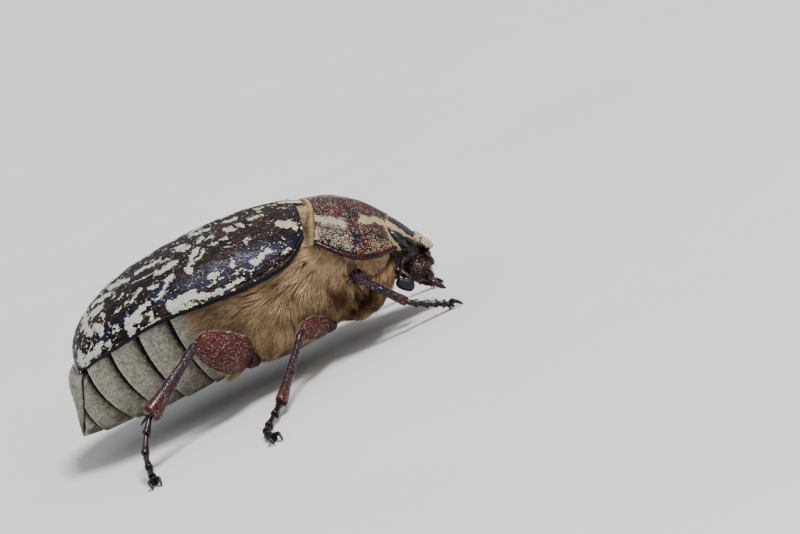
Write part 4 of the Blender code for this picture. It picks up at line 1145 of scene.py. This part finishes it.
# The swellings of the head and of the mouth parts, one on each side: centre and radii.
HEAD_SWELLINGS = (
    ((2.06, 2.04, -0.06), (0.70, 0.46, 0.34)), ((0.70, 2.62, -0.80), (0.80, 0.34, 0.22)),
    ((0.75, 2.15, -2.10), (0.60, 0.50, 0.60)), ((-1.1, 2.30, -2.80), (1.1, 0.60, 0.90)),
)
MOUTH_SWELLINGS = (
    ((2.72, 1.45, -0.82), (0.50, 0.52, 0.34)), ((3.45, 1.10, -1.22), (0.50, 0.55, 0.42)),
    ((3.10, 1.75, -1.70), (0.62, 0.35, 0.52)), ((2.60, 1.85, -2.35), (0.60, 0.42, 0.46)),
    ((4.00, 1.15, -2.30), (0.72, 0.50, 0.52)),
)


HEAD = np.array([  # d, half-width, h of the face and of the throat
    (-3.6, 2.20, -1.10, -3.6), (-2.6, 2.45, -0.58, -3.4), (-1.6, 2.85, -0.10, -4.1), (-0.5, 2.80, 0.06, -4.4),
    (0.6, 2.65, 0.06, -4.2), (1.4, 2.45, -0.06, -3.6), (2.0, 2.10, -0.38, -2.6),
])
CLYPEUS = np.array([  # d, half-width, h of the middle, height of the side rims, thickness
    (0.9, 2.35, -0.02, 0.00, 0.50), (1.3, 2.42, 0.00, 0.03, 0.60), (1.7, 2.46, 0.01, 0.10, 0.68),
    (2.1, 2.46, 0.00, 0.16, 0.72), (2.45, 2.38, -0.02, 0.16, 0.70), (2.68, 2.22, -0.10, 0.08, 0.54),
])
MOUTH = np.array([  # d, half-width, h of the front and of the back
    (2.0, 1.75, -0.70, -3.1), (2.6, 1.90, -0.58, -3.3), (3.2, 1.80, -0.82, -3.3), (3.7, 1.45, -1.12, -3.1),
    (4.05, 1.00, -1.55, -2.8), (4.35, 0.50, -1.90, -2.4),
])
HEAD_SQUARE = 0.8  # roundness of the cross-sections: 1 is an ellipse, and less is boxier
EYE_AT, EYE_RADII = (-0.25, 2.55, -1.28), (1.15, 0.60, 0.58)


def head_rings(table, steps, sides):
    """The closed surface over a table's rings, in the head's frame."""
    turns = np.linspace(0, 2 * math.pi, sides, endpoint=False)
    across, up = power(np.cos(turns), HEAD_SQUARE), power(np.sin(turns), HEAD_SQUARE)
    d, half, top, bottom = row_at(table, np.linspace(0, 1, steps)).T[..., None]
    return loft(head_place(d, half * across, (top + bottom) / 2 + (top - bottom) / 2 * up))


def clypeus_plate():
    """The broad plate over the mouth: dished, with a raised rim round its sides and front."""
    turns = np.linspace(0, 2 * math.pi, 64, endpoint=False)
    across, up = power(np.cos(turns), 0.35), power(np.sin(turns), 0.5)
    d, half, level, rim, thick = row_at(CLYPEUS, np.linspace(0, 1, 20)).T[..., None]
    raised = rim * np.abs(across) ** 5 - 0.06 * (1 - across ** 2)
    return loft(head_place(d, half * across, level + raised - thick / 2 + thick / 2 * up))


def head_frame(points):
    """d, y and h of points in the model's frame."""
    c, s = math.cos(HEAD_TILT), math.sin(HEAD_TILT)
    x, y, z = (points - HEAD_ORIGIN).T
    return x * c + z * s, y, z * c - x * s


def head_cover(d, y, h):
    """Where pale scales lie on the head: a stripe above each eye, and the front corners of the clypeus."""
    side = np.abs(y)
    row = np.interp(d, (-2.4, -0.5, 1.3), (2.35, 2.46, 2.28))
    wide = np.interp(d, (-2.4, -1.0, 0.8, 1.4), (0.46, 0.40, 0.24, 0.12))
    ragged = 0.12 * noise(d, y, 0.30, 51, 2) + 0.06 * noise(d, y, 0.12, 52)
    stripe = (1 - step(-0.05, 0.08, np.abs(side - row + ragged) - wide)) * step(-1.0, -0.8, h)
    stripe = stripe * step(-2.6, -2.4, d) * (1 - step(1.2, 1.5, d))
    specks = 0.40 * bump(d, 1.35, 0.40) * bump(h, -0.35, 0.20) * (side > 2.0)
    low = -0.36 + 0.45 * np.clip(d - 2.3, 0, 0.6) + 0.4 * ragged
    corner = step(1.42, 1.62, d + ragged) * step(1.52, 1.72, side + ragged) * step(low - 0.06, low + 0.06, h)
    return np.maximum.reduce([stripe, corner, specks])


def jaw_cover(d, y, h):
    """Where pale scales lie on the mouth parts: low on their sides."""
    return 0.7 * (np.abs(y) > 1.2) * bump(d, 2.5, 0.6) * bump(h, -2.1, 0.5)


def pitted(shape, size, depth):
    """A shape whose points move along their outward directions by the pattern of coarse pits."""
    points, face_sets = shape
    outs = np.zeros(points.shape)
    for faces in face_sets:
        a, b, c = points[faces[:, :3]].transpose(1, 0, 2)
        normal = np.cross(b - a, c - a)
        for corner in faces.T:
            outs += np.stack([np.bincount(corner, normal[:, axis], len(points)) for axis in range(3)], -1)
    near = np.array([voronoi(point)[0][0] for point in (points / size).tolist()])
    sign = np.sign(volume(points, face_sets))
    return points + sign * unit(outs) * (depth * (step(0.1, 0.6, near) - 0.5))[:, None], face_sets


def swellings(table):
    return [ball((d, side * y, h), radii) for side in (RIGHT, LEFT) for (d, y, h), radii in table]


def make_head(finish, mouth_finish):
    """The capsule with its clypeus, and the mouth parts under it."""
    parts = [head_rings(HEAD, steps=30, sides=64), clypeus_plate(), *swellings(HEAD_SWELLINGS),
             ball((1.05, 0.0, -0.20), (0.14, 1.3, 0.18))]
    shape = pitted(melted(joined(parts), voxel=0.072), size=0.30, depth=0.05)
    d, y, h = head_frame(shape[0])
    red = np.clip(step(2.2, 2.8, d) + 0.35 * step(-1.6, -3.0, h), 0, 1)
    add_piece("head_capsule", shape, finish, ["head"], {"cover": head_cover(d, y, h), "red": red})
    parts = [head_rings(MOUTH, steps=24, sides=48), ball((3.62, 0.0, -1.12), (0.46, 1.05, 0.34)),
             *swellings(MOUTH_SWELLINGS), ball((3.3, 0.0, -2.9), (0.9, 0.95, 0.55))]
    mouth = pitted(melted(joined(parts), voxel=0.062), size=0.34, depth=0.09)
    d, y, h = head_frame(mouth[0])
    red = np.clip(0.45 + 0.55 * noise(d, y, 0.6, 61, 2), 0, 1)
    add_piece("mouth_parts", mouth, mouth_finish, ["mouthparts"], {"cover": 0 * d, "red": red})
    return shape, mouth


HEAD_AXIS = head_place(-3.6, 0.0, -2.0), head_place(4.4, 0.0, -2.0)


def make_head_coat(shape, mouth, scale_finish, hair_finish):
    """Scales in the head's pale markings and on the jaws, and short hair on its sides and the mouth."""
    random = np.random.default_rng(700)
    forward = head_place(1.0, 0.0, 0.0) - head_place(0.0, 0.0, 0.0)
    for name, base, count, cover in (("head_scales", shape, 26000, head_cover),
                                     ("jaw_scales", mouth, 2600, jaw_cover)):
        places, outs = scatter(base, count, random)
        d, y, h = head_frame(places)
        keep = random.random(count) < cover(d, y, h)
        places, outs, d = places[keep], outs[keep], d[keep]
        tufts = laid(random, places, outs, forward,
                     sway=0.5, lengths=(0.12, 0.20), widths=(0.055, 0.085), lift=0.035)
        tones = varied(random, 1 - 0.9 * step(1.2, 1.7, d), 0.2, len(places))
        add_coat(name, tufts, round_axis(places, *HEAD_AXIS), tones, scale_finish)
    for name, base, count, long in (("head_hair", shape, 2600, 0.50), ("mouth_hair", mouth, 1500, 0.34)):
        places, outs = scatter(base, count, random)
        d, y, h = head_frame(places)
        keep = (h < -1.0) & (np.abs(y) > 1.0) | (d > 4.1)
        places, outs = places[keep], outs[keep]
        count = len(places)
        aims = 0.9 * forward + 0.35 * outs + 0.30 * random.normal(0, 1, places.shape)
        paths = curved(places, outs, aims, long * random.uniform(0.5, 1.3, count), droop=0.2)
        tones = varied(random, 0.35, 0.35, count)
        tufts = hairs(paths, outs, random.uniform(0.02, 0.036, count))
        add_coat(name, tufts, round_axis(places, *HEAD_AXIS), tones, hair_finish)


def make_eye(label, side, finish):
    d, y, h = EYE_AT
    shape = ball((d, side * y, h), EYE_RADII, steps=30, sides=48)
    add_piece(f"eye_{label}_dome", shape, finish, [f"eye_{label}"])


def spindle(start, end, radii, profile, sides=16, wide=(0.0, 0.0, 1.0), square=1.0):
    """A limb segment from start to end. profile holds shares of its length and of its radii."""
    start, end = np.asarray(start, float), np.asarray(end, float)
    share, size = np.array(profile).T
    path = start + (end - start) * share[:, None]
    return tube(path, size[:, None] * np.array(radii), sides, np.array(wide), square)


def rounded(profile, steps):
    """A profile with more stations, on a smooth curve through its own."""
    return row_at(np.array(profile), np.linspace(0, 1, steps))


# Profiles of limb segments: shares of the length, and the radius there as a share of the widest.
BEAD = ((0, 0.25), (0.06, 0.62), (0.2, 0.78), (0.5, 0.88), (0.8, 1.0), (0.94, 0.85), (1.0, 0.3))
LEAF = ((0, 0.35), (0.05, 0.62), (0.15, 0.86), (0.35, 1.0), (0.65, 1.0), (0.85, 0.86), (0.96, 0.58),
        (1.0, 0.25))
PALP_JOINT = ((0, 0.3), (0.08, 0.65), (0.3, 0.85), (0.6, 1.0), (0.85, 0.8), (1.0, 0.35))
PALP_TIP = ((0, 0.3), (0.08, 0.65), (0.3, 0.85), (0.6, 0.78), (0.85, 0.40), (1.0, 0.12))
SHIN = ((0, 0.55), (0.06, 1.05), (0.14, 0.95), (0.3, 0.88), (0.55, 0.98), (0.8, 1.12), (0.93, 1.32),
        (0.98, 1.22), (1.0, 0.75))
FOOT_JOINT = ((0, 0.50), (0.08, 0.62), (0.35, 0.66), (0.7, 0.86), (0.88, 1.05), (0.97, 0.96), (1.0, 0.5))
ANTENNA = np.array([(14.6, 2.95, 5.60), (14.1, 3.60, 5.45), (13.6, 3.85, 4.90), (13.05, 3.80, 4.20)])
CLUB = np.array([(12.85, 3.75, 3.98), (14.05, 3.75, 2.88)])
CLUB_LEAVES = 5
CLUB_WIDE, LEAF_THICK, LEAF_GAP = 0.50, 0.11, 0.17
PALP = np.array([(15.6, 1.3, 3.0), (15.9, 1.75, 2.3), (16.3, 1.8, 1.7), (16.8, 1.7, 1.2)])


def make_antenna(label, side, finish, club_finish):
    """A long first segment, small beads, and a club of close oval leaves, side by side."""
    mirror = np.array((1, side, 1))
    base, first = (14.95, 2.45, 5.75) * mirror, row_at(ANTENNA, 0.36) * mirror
    parts = [spindle(base, first, (0.24, 0.22), rounded(BEAD, 22))]
    shares = np.linspace(0.34, 1.02, 8)
    for a, b in zip(shares, shares[1:]):
        a, b = row_at(ANTENNA, a) * mirror, row_at(ANTENNA, b + 0.02) * mirror
        parts.append(spindle(a, b, (0.18, 0.17), rounded(BEAD, 14)))
    add_piece(f"antenna_{label}_segments", joined(parts), finish, [f"antenna_{label}"])
    start, end = CLUB * mirror
    across = unit(np.cross(end - start, (0.0, 1.0, 0.0)))
    parts = []
    for k in range(CLUB_LEAVES):
        place = k - (CLUB_LEAVES - 1) / 2
        size = 1 - 0.03 * abs(place)
        shift = np.array((0.0, place * LEAF_GAP, 0.0))
        near, far = start + shift * 0.7, start + (end - start) * size + shift
        radii = (CLUB_WIDE * size, LEAF_THICK)
        parts.append(spindle(near, far, radii, rounded(LEAF, 26), sides=28, wide=across, square=0.9))
    add_piece(f"antenna_{label}_club", joined(parts), club_finish, [f"antenna_{label}"])


def make_palp(label, side, finish):
    """Three short segments, the last one tapering to a thin tip."""
    mirror = np.array((1, side, 1))
    parts = []
    for a, b, radius, profile in ((0.0, 0.32, 0.30, PALP_JOINT), (0.28, 0.55, 0.27, PALP_JOINT),
                                  (0.52, 1.0, 0.26, PALP_TIP)):
        a, b = row_at(PALP, a) * mirror, row_at(PALP, b) * mirror
        parts.append(spindle(a, b, (radius, radius), rounded(profile, 16)))
    shape = joined(parts)
    layers = {"red": np.full(len(shape[0]), 0.25)}
    add_piece(f"palp_{label}_segments", shape, finish, [f"palp_{label}"], layers)


KNEE_RED = {"front": 0.0, "middle": 0.75, "hind": 1.0}
BRISTLES = {"front": 300, "middle": 1050, "hind": 2800}
SHIN_BRISTLES = {"front": 150, "middle": 320, "hind": 420}


def make_thigh(label, pair, hip, middle, knee, finish, bristle_finish):
    """A swollen femur with its short hip piece, and silvery bristles, most of them along its edges."""
    steps, sides = 34, 32
    share = np.linspace(0, 1, steps)
    wide = unit(np.cross(knee - hip, (0.0, 1.0, 0.0)))
    swell = np.sin(math.pi * (0.10 + 0.80 * share)) ** 0.8
    swell[[0, -1]] *= 0.5
    path = row_at(np.array([hip, middle, knee]), share)
    path[-1] += unit(knee - middle) * 0.1
    radii = np.stack([FEMUR_WIDE[pair] * swell, FEMUR_THICK[pair] * np.maximum(swell, 0.5)], -1)
    radii[[0, -1]] *= 0.6
    femur = tube(path, radii, sides, wide)
    start, end = hip + (hip - middle) * 0.35, hip + (middle - hip) * 0.2
    coxa = spindle(start, end, (0.62 * FEMUR_WIDE[pair], 0.7), rounded(BEAD, 18), sides=24)
    red = ring_layer(KNEE_RED[pair] * (0.70 + 0.30 * step(0.55, 0.95, share)), sides)
    layers = {"red": np.append(red, np.full(len(coxa[0]), 0.3))}
    add_piece(f"leg_{label}_thigh", joined([femur, coxa]), finish, [f"leg_{label}_femur"], layers)
    name = f"leg_{label}_thigh_bristles"
    bristled(name, femur, hip, knee, BRISTLES[pair], length=0.36, lean=0.35,
             finish=bristle_finish, seed=801, wide=wide)


def shin_thorns(pair, start, end, wide, outward):
    """The teeth, spurs and end spines of a tibia."""
    axis = unit(end - start)
    if pair == "front":
        places, aim = (0.45, 0.70, 0.93), outward * 0.9 + axis * 0.75
        return [curved_spike(start + (end - start) * place, aim, length=0.75 * (0.7 + place / 2), radius=0.24,
                             bend=axis * 0.4) for place in places]
    size = TIBIA_ANKLE[pair]
    root, aim = start + (end - start) * 0.55, outward * 0.8 + axis * 0.6
    thorns = [curved_spike(root, aim, length=0.75, radius=0.17, bend=axis * 0.3)]
    for lean, length in ((-0.55, 1.3), (0.05, 1.04)):
        root = end - axis * 0.3 - outward * size * 0.4
        aim = axis * 0.75 - wide * (0.6 + lean) - outward * 0.35
        thorns.append(curved_spike(root, aim, length, radius=0.15, bend=axis * 0.3))
    for turn in np.linspace(0, 2 * math.pi, 9, endpoint=False):
        out = wide * math.cos(turn) + outward * math.sin(turn)
        root = end - axis * 0.16 + out * size * 0.85
        aim = axis + out * 0.55
        thorns.append(curved_spike(root, aim, length=0.34, radius=0.06, bend=axis * 0.2, sides=6))
    return thorns


def make_shin(label, pair, side, knee, ankle, finish, bristle_finish):
    """A tibia that widens to its end, with thorns and bristles."""
    axis = unit(ankle - knee)
    start, end = knee + axis * 0.12, ankle - axis * 0.06
    wide = unit(np.cross(axis, np.cross((0.0, 0.0, 1.0), axis)))
    share, size = rounded(SHIN, 44).T
    size = size * (TIBIA_KNEE[pair] + (TIBIA_ANKLE[pair] - TIBIA_KNEE[pair]) * share)
    ridge = 1 + 0.05 * np.sin(share * 40)
    path = start + (end - start) * share[:, None]
    sides = 24
    shaft = tube(path, np.stack([size, size * 0.85 * ridge], -1), sides, wide, square=0.9)
    outward = unit(np.cross(axis, wide))
    outward = outward * np.sign(outward[1] * side)
    thorns = shin_thorns(pair, start, end, wide, outward)
    shape = joined([shaft, *thorns])
    red = np.zeros(len(shape[0]))
    red[:len(shaft[0])] = ring_layer(0.05 + 0.50 * step(0.60, 1.0, share), sides)
    add_piece(f"leg_{label}_shin", shape, finish, [f"leg_{label}_tibia"], {"red": red})
    name = f"leg_{label}_shin_bristles"
    bristled(name, shaft, start, end, SHIN_BRISTLES[pair], length=0.28, lean=0.50,
             finish=bristle_finish, seed=802)


def make_foot(label, rows, finish):
    """Five tarsal segments with small spines, and a pair of toothed claws."""
    parts = []
    for k in range(TARSOMERES):
        a, b = row_at(rows, k / TARSOMERES), row_at(rows, (k + 0.98) / TARSOMERES)
        parts.append(spindle(a, b, (0.37, 0.33), rounded(FOOT_JOINT, 20), sides=18))
        heading = unit(b - a)
        sideways = unit(np.cross(heading, UP))
        for lean in (-1, -0.4, 0.4, 1):
            root = b - heading * 0.12 + sideways * 0.2 * lean - 0.16 * UP
            aim = heading + sideways * 0.4 * lean - 0.25 * UP
            parts.append(curved_spike(root, aim, length=0.34, radius=0.05, bend=-0.2 * UP, sides=6))
    heading = unit((row_at(rows, 1.0) - row_at(rows, 0.9)) * (1, 1, 0))
    across = np.cross(heading, UP)
    share = np.linspace(0, 1, 16)
    size = 0.20 * np.sqrt(np.clip(1.02 - share ** 2, 0.01, 1))
    for turn in (-1, 1):
        root = row_at(rows, 0.985) - heading * 0.1
        bend = root + heading * 0.48 + across * turn * 0.42 + 0.16 * UP
        tip = root + heading * 1.06 + across * turn * 0.36
        tip[2] = 0.06
        curve = row_at(np.array([root, bend, tip]), share)
        parts.append(tube(curve, np.stack([size, size * 0.8], -1), sides=12, wide=UP))
        tooth = root + heading * 0.2 + across * turn * 0.16
        aim = heading * 0.4 - UP
        parts.append(curved_spike(tooth, aim, length=0.36, radius=0.09, bend=heading * 0.2, sides=8))
    points, faces = joined(parts)
    points[:, 2] = np.maximum(points[:, 2], 0.012)
    add_piece(f"leg_{label}_foot", (points, faces), finish, [f"leg_{label}_tarsus"])


# Legs. Points are given for the outward side: the hip, the femur's middle, knee, ankle and toes.
LEGS = {
    "front_right": [(10.6, 4.3, 4.9), (9.9, 5.6, 6.1), (9.3, 6.4, 6.65), (12.8, 5.6, 2.35),
                    (14.2, 5.2, 1.45), (15.4, 5.0, 0.90), (16.2, 4.9, 0.42)],
    "front_left": [(10.8, 4.3, 4.8), (10.9, 5.7, 5.6), (10.8, 6.8, 5.8), (14.4, 7.0, 2.6),
                   (15.4, 6.9, 1.50), (16.2, 6.7, 0.80), (16.8, 6.5, 0.42)],
    "middle_right": [(5.9, 4.0, 3.1), (4.7, 6.3, 3.9), (3.4, 8.0, 4.5), (-1.0, 14.0, 0.95),
                     (-2.6, 16.8, 0.45), (-3.2, 19.2, 0.42), (-2.9, 21.4, 0.42)],
    "middle_left": [(6.0, 4.0, 3.1), (7.2, 6.1, 4.0), (8.4, 7.8, 4.6), (9.3, 14.2, 0.95),
                    (10.4, 16.9, 0.45), (11.5, 19.0, 0.42), (12.9, 20.7, 0.42)],
    "hind_right": [(-1.3, 5.0, 3.8), (-2.8, 7.4, 5.15), (-5.0, 9.1, 7.6), (-11.1, 12.3, 4.3),
                   (-12.6, 14.3, 2.4), (-12.9, 16.2, 0.9), (-12.9, 17.6, 0.42)],
    "hind_left": [(-1.3, 5.0, 3.8), (-2.6, 7.4, 4.95), (-4.6, 9.1, 7.3), (-10.4, 13.2, 3.6),
                  (-12.2, 15.2, 1.7), (-13.0, 16.8, 0.6), (-13.6, 18.2, 0.42)],
}
FEMUR_WIDE = {"front": 0.70, "middle": 1.00, "hind": 1.78}
FEMUR_THICK = {"front": 0.60, "middle": 0.65, "hind": 0.85}
TIBIA_KNEE = {"front": 0.46, "middle": 0.36, "hind": 0.36}
TIBIA_ANKLE = {"front": 0.32, "middle": 0.42, "hind": 0.66}
TARSOMERES = 5


def ring_layer(values, sides):
    """A number for each ring of a tube, for its points and then its two ends."""
    return np.append(np.repeat(values, sides), values[[0, -1]])


def curved_spike(root, aim, length, radius, bend, sides=10):
    """A slender thorn that curves towards bend."""
    share = np.linspace(0, 1, 9)
    path = root + length * (share[:, None] * unit(aim) + 0.22 * share[:, None] ** 2 * bend)
    size = np.sqrt(np.clip(1 - share ** 1.5, 0.004, 1)) * radius
    return tube(path, np.stack([size, size], -1), sides, np.array((0.31, 0.17, 0.93)))


def make_leg(label, finish, foot_finish, bristle_finish):
    pair, side = label.split("_")[0], LEFT if label.endswith("left") else RIGHT
    hip, middle, knee, ankle, *toes = np.array(LEGS[label]) * (1, side, 1)
    make_thigh(label, pair, hip, middle, knee, finish, bristle_finish)
    make_shin(label, pair, side, knee, ankle, finish, bristle_finish)
    make_foot(label, np.array([ankle, *toes]), foot_finish)


# Floor, light and camera

# In metres: half the floor's width, how far it lies under the feet, and where the window's light goes.
FLOOR_REACH, FLOOR_DROP = 6.0, 0.00001
LIGHT_AIM = Vector((0.0, 0.0, 0.007))
SUN_TOWARDS, SUN_COLOUR = Vector((0.45, -0.30, 1.0)), (1.0, 0.96, 0.91)
SUN_SPREAD, SUN_STRENGTH = math.radians(18), 3.0
WINDOW_AT, WINDOW_SIZE = Vector((0.10, -0.20, 0.10)), (0.16, 0.10)
WINDOW_WATTS, WINDOW_COLOUR = 0.09, (1.0, 0.96, 0.92)
SKY_COLOUR, SKY_LOW, SKY_HIGH = (0.88, 0.93, 1.0, 1.0), 0.34, 0.62


def make_stage():
    """The floor, the sky, a soft sun and a window."""
    f = Finish("floor", 0.85, Specular_IOR_Level=0.2)
    f.finish(f.mix(f.noise(40), (0.66, 0.655, 0.64), (0.72, 0.715, 0.70)))
    mesh = bpy.data.meshes.new("floor")
    corners = ((-1, -1), (1, -1), (1, 1), (-1, 1))
    corners = [(x * FLOOR_REACH, y * FLOOR_REACH, -FLOOR_DROP) for x, y in corners]
    mesh.from_pydata(corners, [], [(0, 1, 2, 3)])
    mesh.materials.append(f.material)
    floor = linked(bpy.data.objects.new("floor", mesh))
    make_dome()
    sun = bpy.data.lights.new("sun", "SUN")
    sun.energy, sun.angle, sun.color = SUN_STRENGTH, SUN_SPREAD, SUN_COLOUR
    lamp = linked(bpy.data.objects.new("sun", sun))
    lamp.rotation_euler = SUN_TOWARDS.to_track_quat("Z", "Y").to_euler()
    window = bpy.data.lights.new("window", "AREA")
    window.shape, window.energy, window.color = "RECTANGLE", WINDOW_WATTS, WINDOW_COLOUR
    window.size, window.size_y = WINDOW_SIZE
    lamp = linked(bpy.data.objects.new("window", window))
    lamp.location = WINDOW_AT
    lamp.rotation_euler = (LIGHT_AIM - WINDOW_AT).to_track_quat("-Z", "Y").to_euler()
    bpy.context.scene.view_settings.look = "AgX - Medium High Contrast"


def make_dome():
    """An even studio sky, a little brighter overhead than at the horizon."""
    world = bpy.data.worlds.new("studio")
    world.use_nodes = True
    nodes, links = world.node_tree.nodes, world.node_tree.links
    place, split = nodes.new("ShaderNodeTexCoord"), nodes.new("ShaderNodeSeparateXYZ")
    strength = nodes.new("ShaderNodeMapRange")
    for socket, value in (("From Min", -0.1), ("From Max", 0.9), ("To Min", SKY_LOW), ("To Max", SKY_HIGH)):
        strength.inputs[socket].default_value = value
    sky = nodes["Background"]
    sky.inputs["Color"].default_value = SKY_COLOUR
    links.new(place.outputs["Generated"], split.inputs[0])
    links.new(split.outputs["Z"], strength.inputs["Value"])
    links.new(strength.outputs[0], sky.inputs["Strength"])
    bpy.context.scene.world = world


def make_camera():
    """The photo's view: level directions first, then the roll about the line of sight."""
    azimuth, elevation, roll = (math.radians(a) for a in (AZIMUTH, ELEVATION, ROLL))
    level = math.cos(elevation)
    back = Vector((math.sin(azimuth) * level, -math.cos(azimuth) * level, math.sin(elevation)))
    right = Vector((math.cos(azimuth), math.sin(azimuth), 0.0))
    up = back.cross(right)
    rolled_right = right * math.cos(roll) - up * math.sin(roll)
    rolled_up = right * math.sin(roll) + up * math.cos(roll)
    turned = Matrix((rolled_right, rolled_up, back)).transposed()
    view = bpy.data.cameras.new("camera")
    view.lens, view.sensor_width, view.sensor_fit = LENS, SENSOR, "HORIZONTAL"
    view.clip_start, view.clip_end = 0.005, 20
    camera = linked(bpy.data.objects.new("camera", view))
    camera.matrix_world = Matrix.Translation(LOOK_AT + back * DISTANCE) @ turned.to_4x4()
    bpy.context.scene.camera = camera


make_camera()
make_stage()
wing_finish = make_wing_finish()
skin_finish = make_skin_finish()
leg_finish = make_leg_finish()
foot_finish = make_foot_finish()
club_finish = make_foot_finish("club", (0.016, 0.019, 0.034), (0.008, 0.009, 0.016))
mouth_finish = make_head_finish("mouth", (0.075, 0.017, 0.009))
eye_finish = make_eye_finish()
coats = {name: make_coat_finish(name, *look) for name, look in COATS.items()}
make_pronotum(make_pronotum_finish())
make_scutellum(wing_finish, coats["wing_scales"])
make_skin(skin_finish)
make_pygidium(skin_finish, coats["grey_down"])
head, mouth = make_head(make_head_finish(), mouth_finish)
make_head_coat(head, mouth, coats["pronotum_scales"], coats["face_hair"])
make_pronotum_scales(coats["pronotum_scales"])
make_fringes(coats["fringe_hair"])
for label, side in SIDES.items():
    make_wing_case(label, side, wing_finish)
    make_wing_scales(label, side, coats["wing_scales"])
    make_fur(label, side, coats["golden_hair"])
    make_nape(label, side, coats["fringe_hair"])
    make_breast(label, side, coats["brown_hair"])
    make_nap(label, side, coats["golden_hair"])
    make_down(label, side, coats["grey_down"])
    make_eye(label, side, eye_finish)
    make_antenna(label, side, foot_finish, club_finish)
    make_palp(label, side, leg_finish)
for label in LEGS:
    make_leg(label, leg_finish, foot_finish, coats["silver_bristles"])
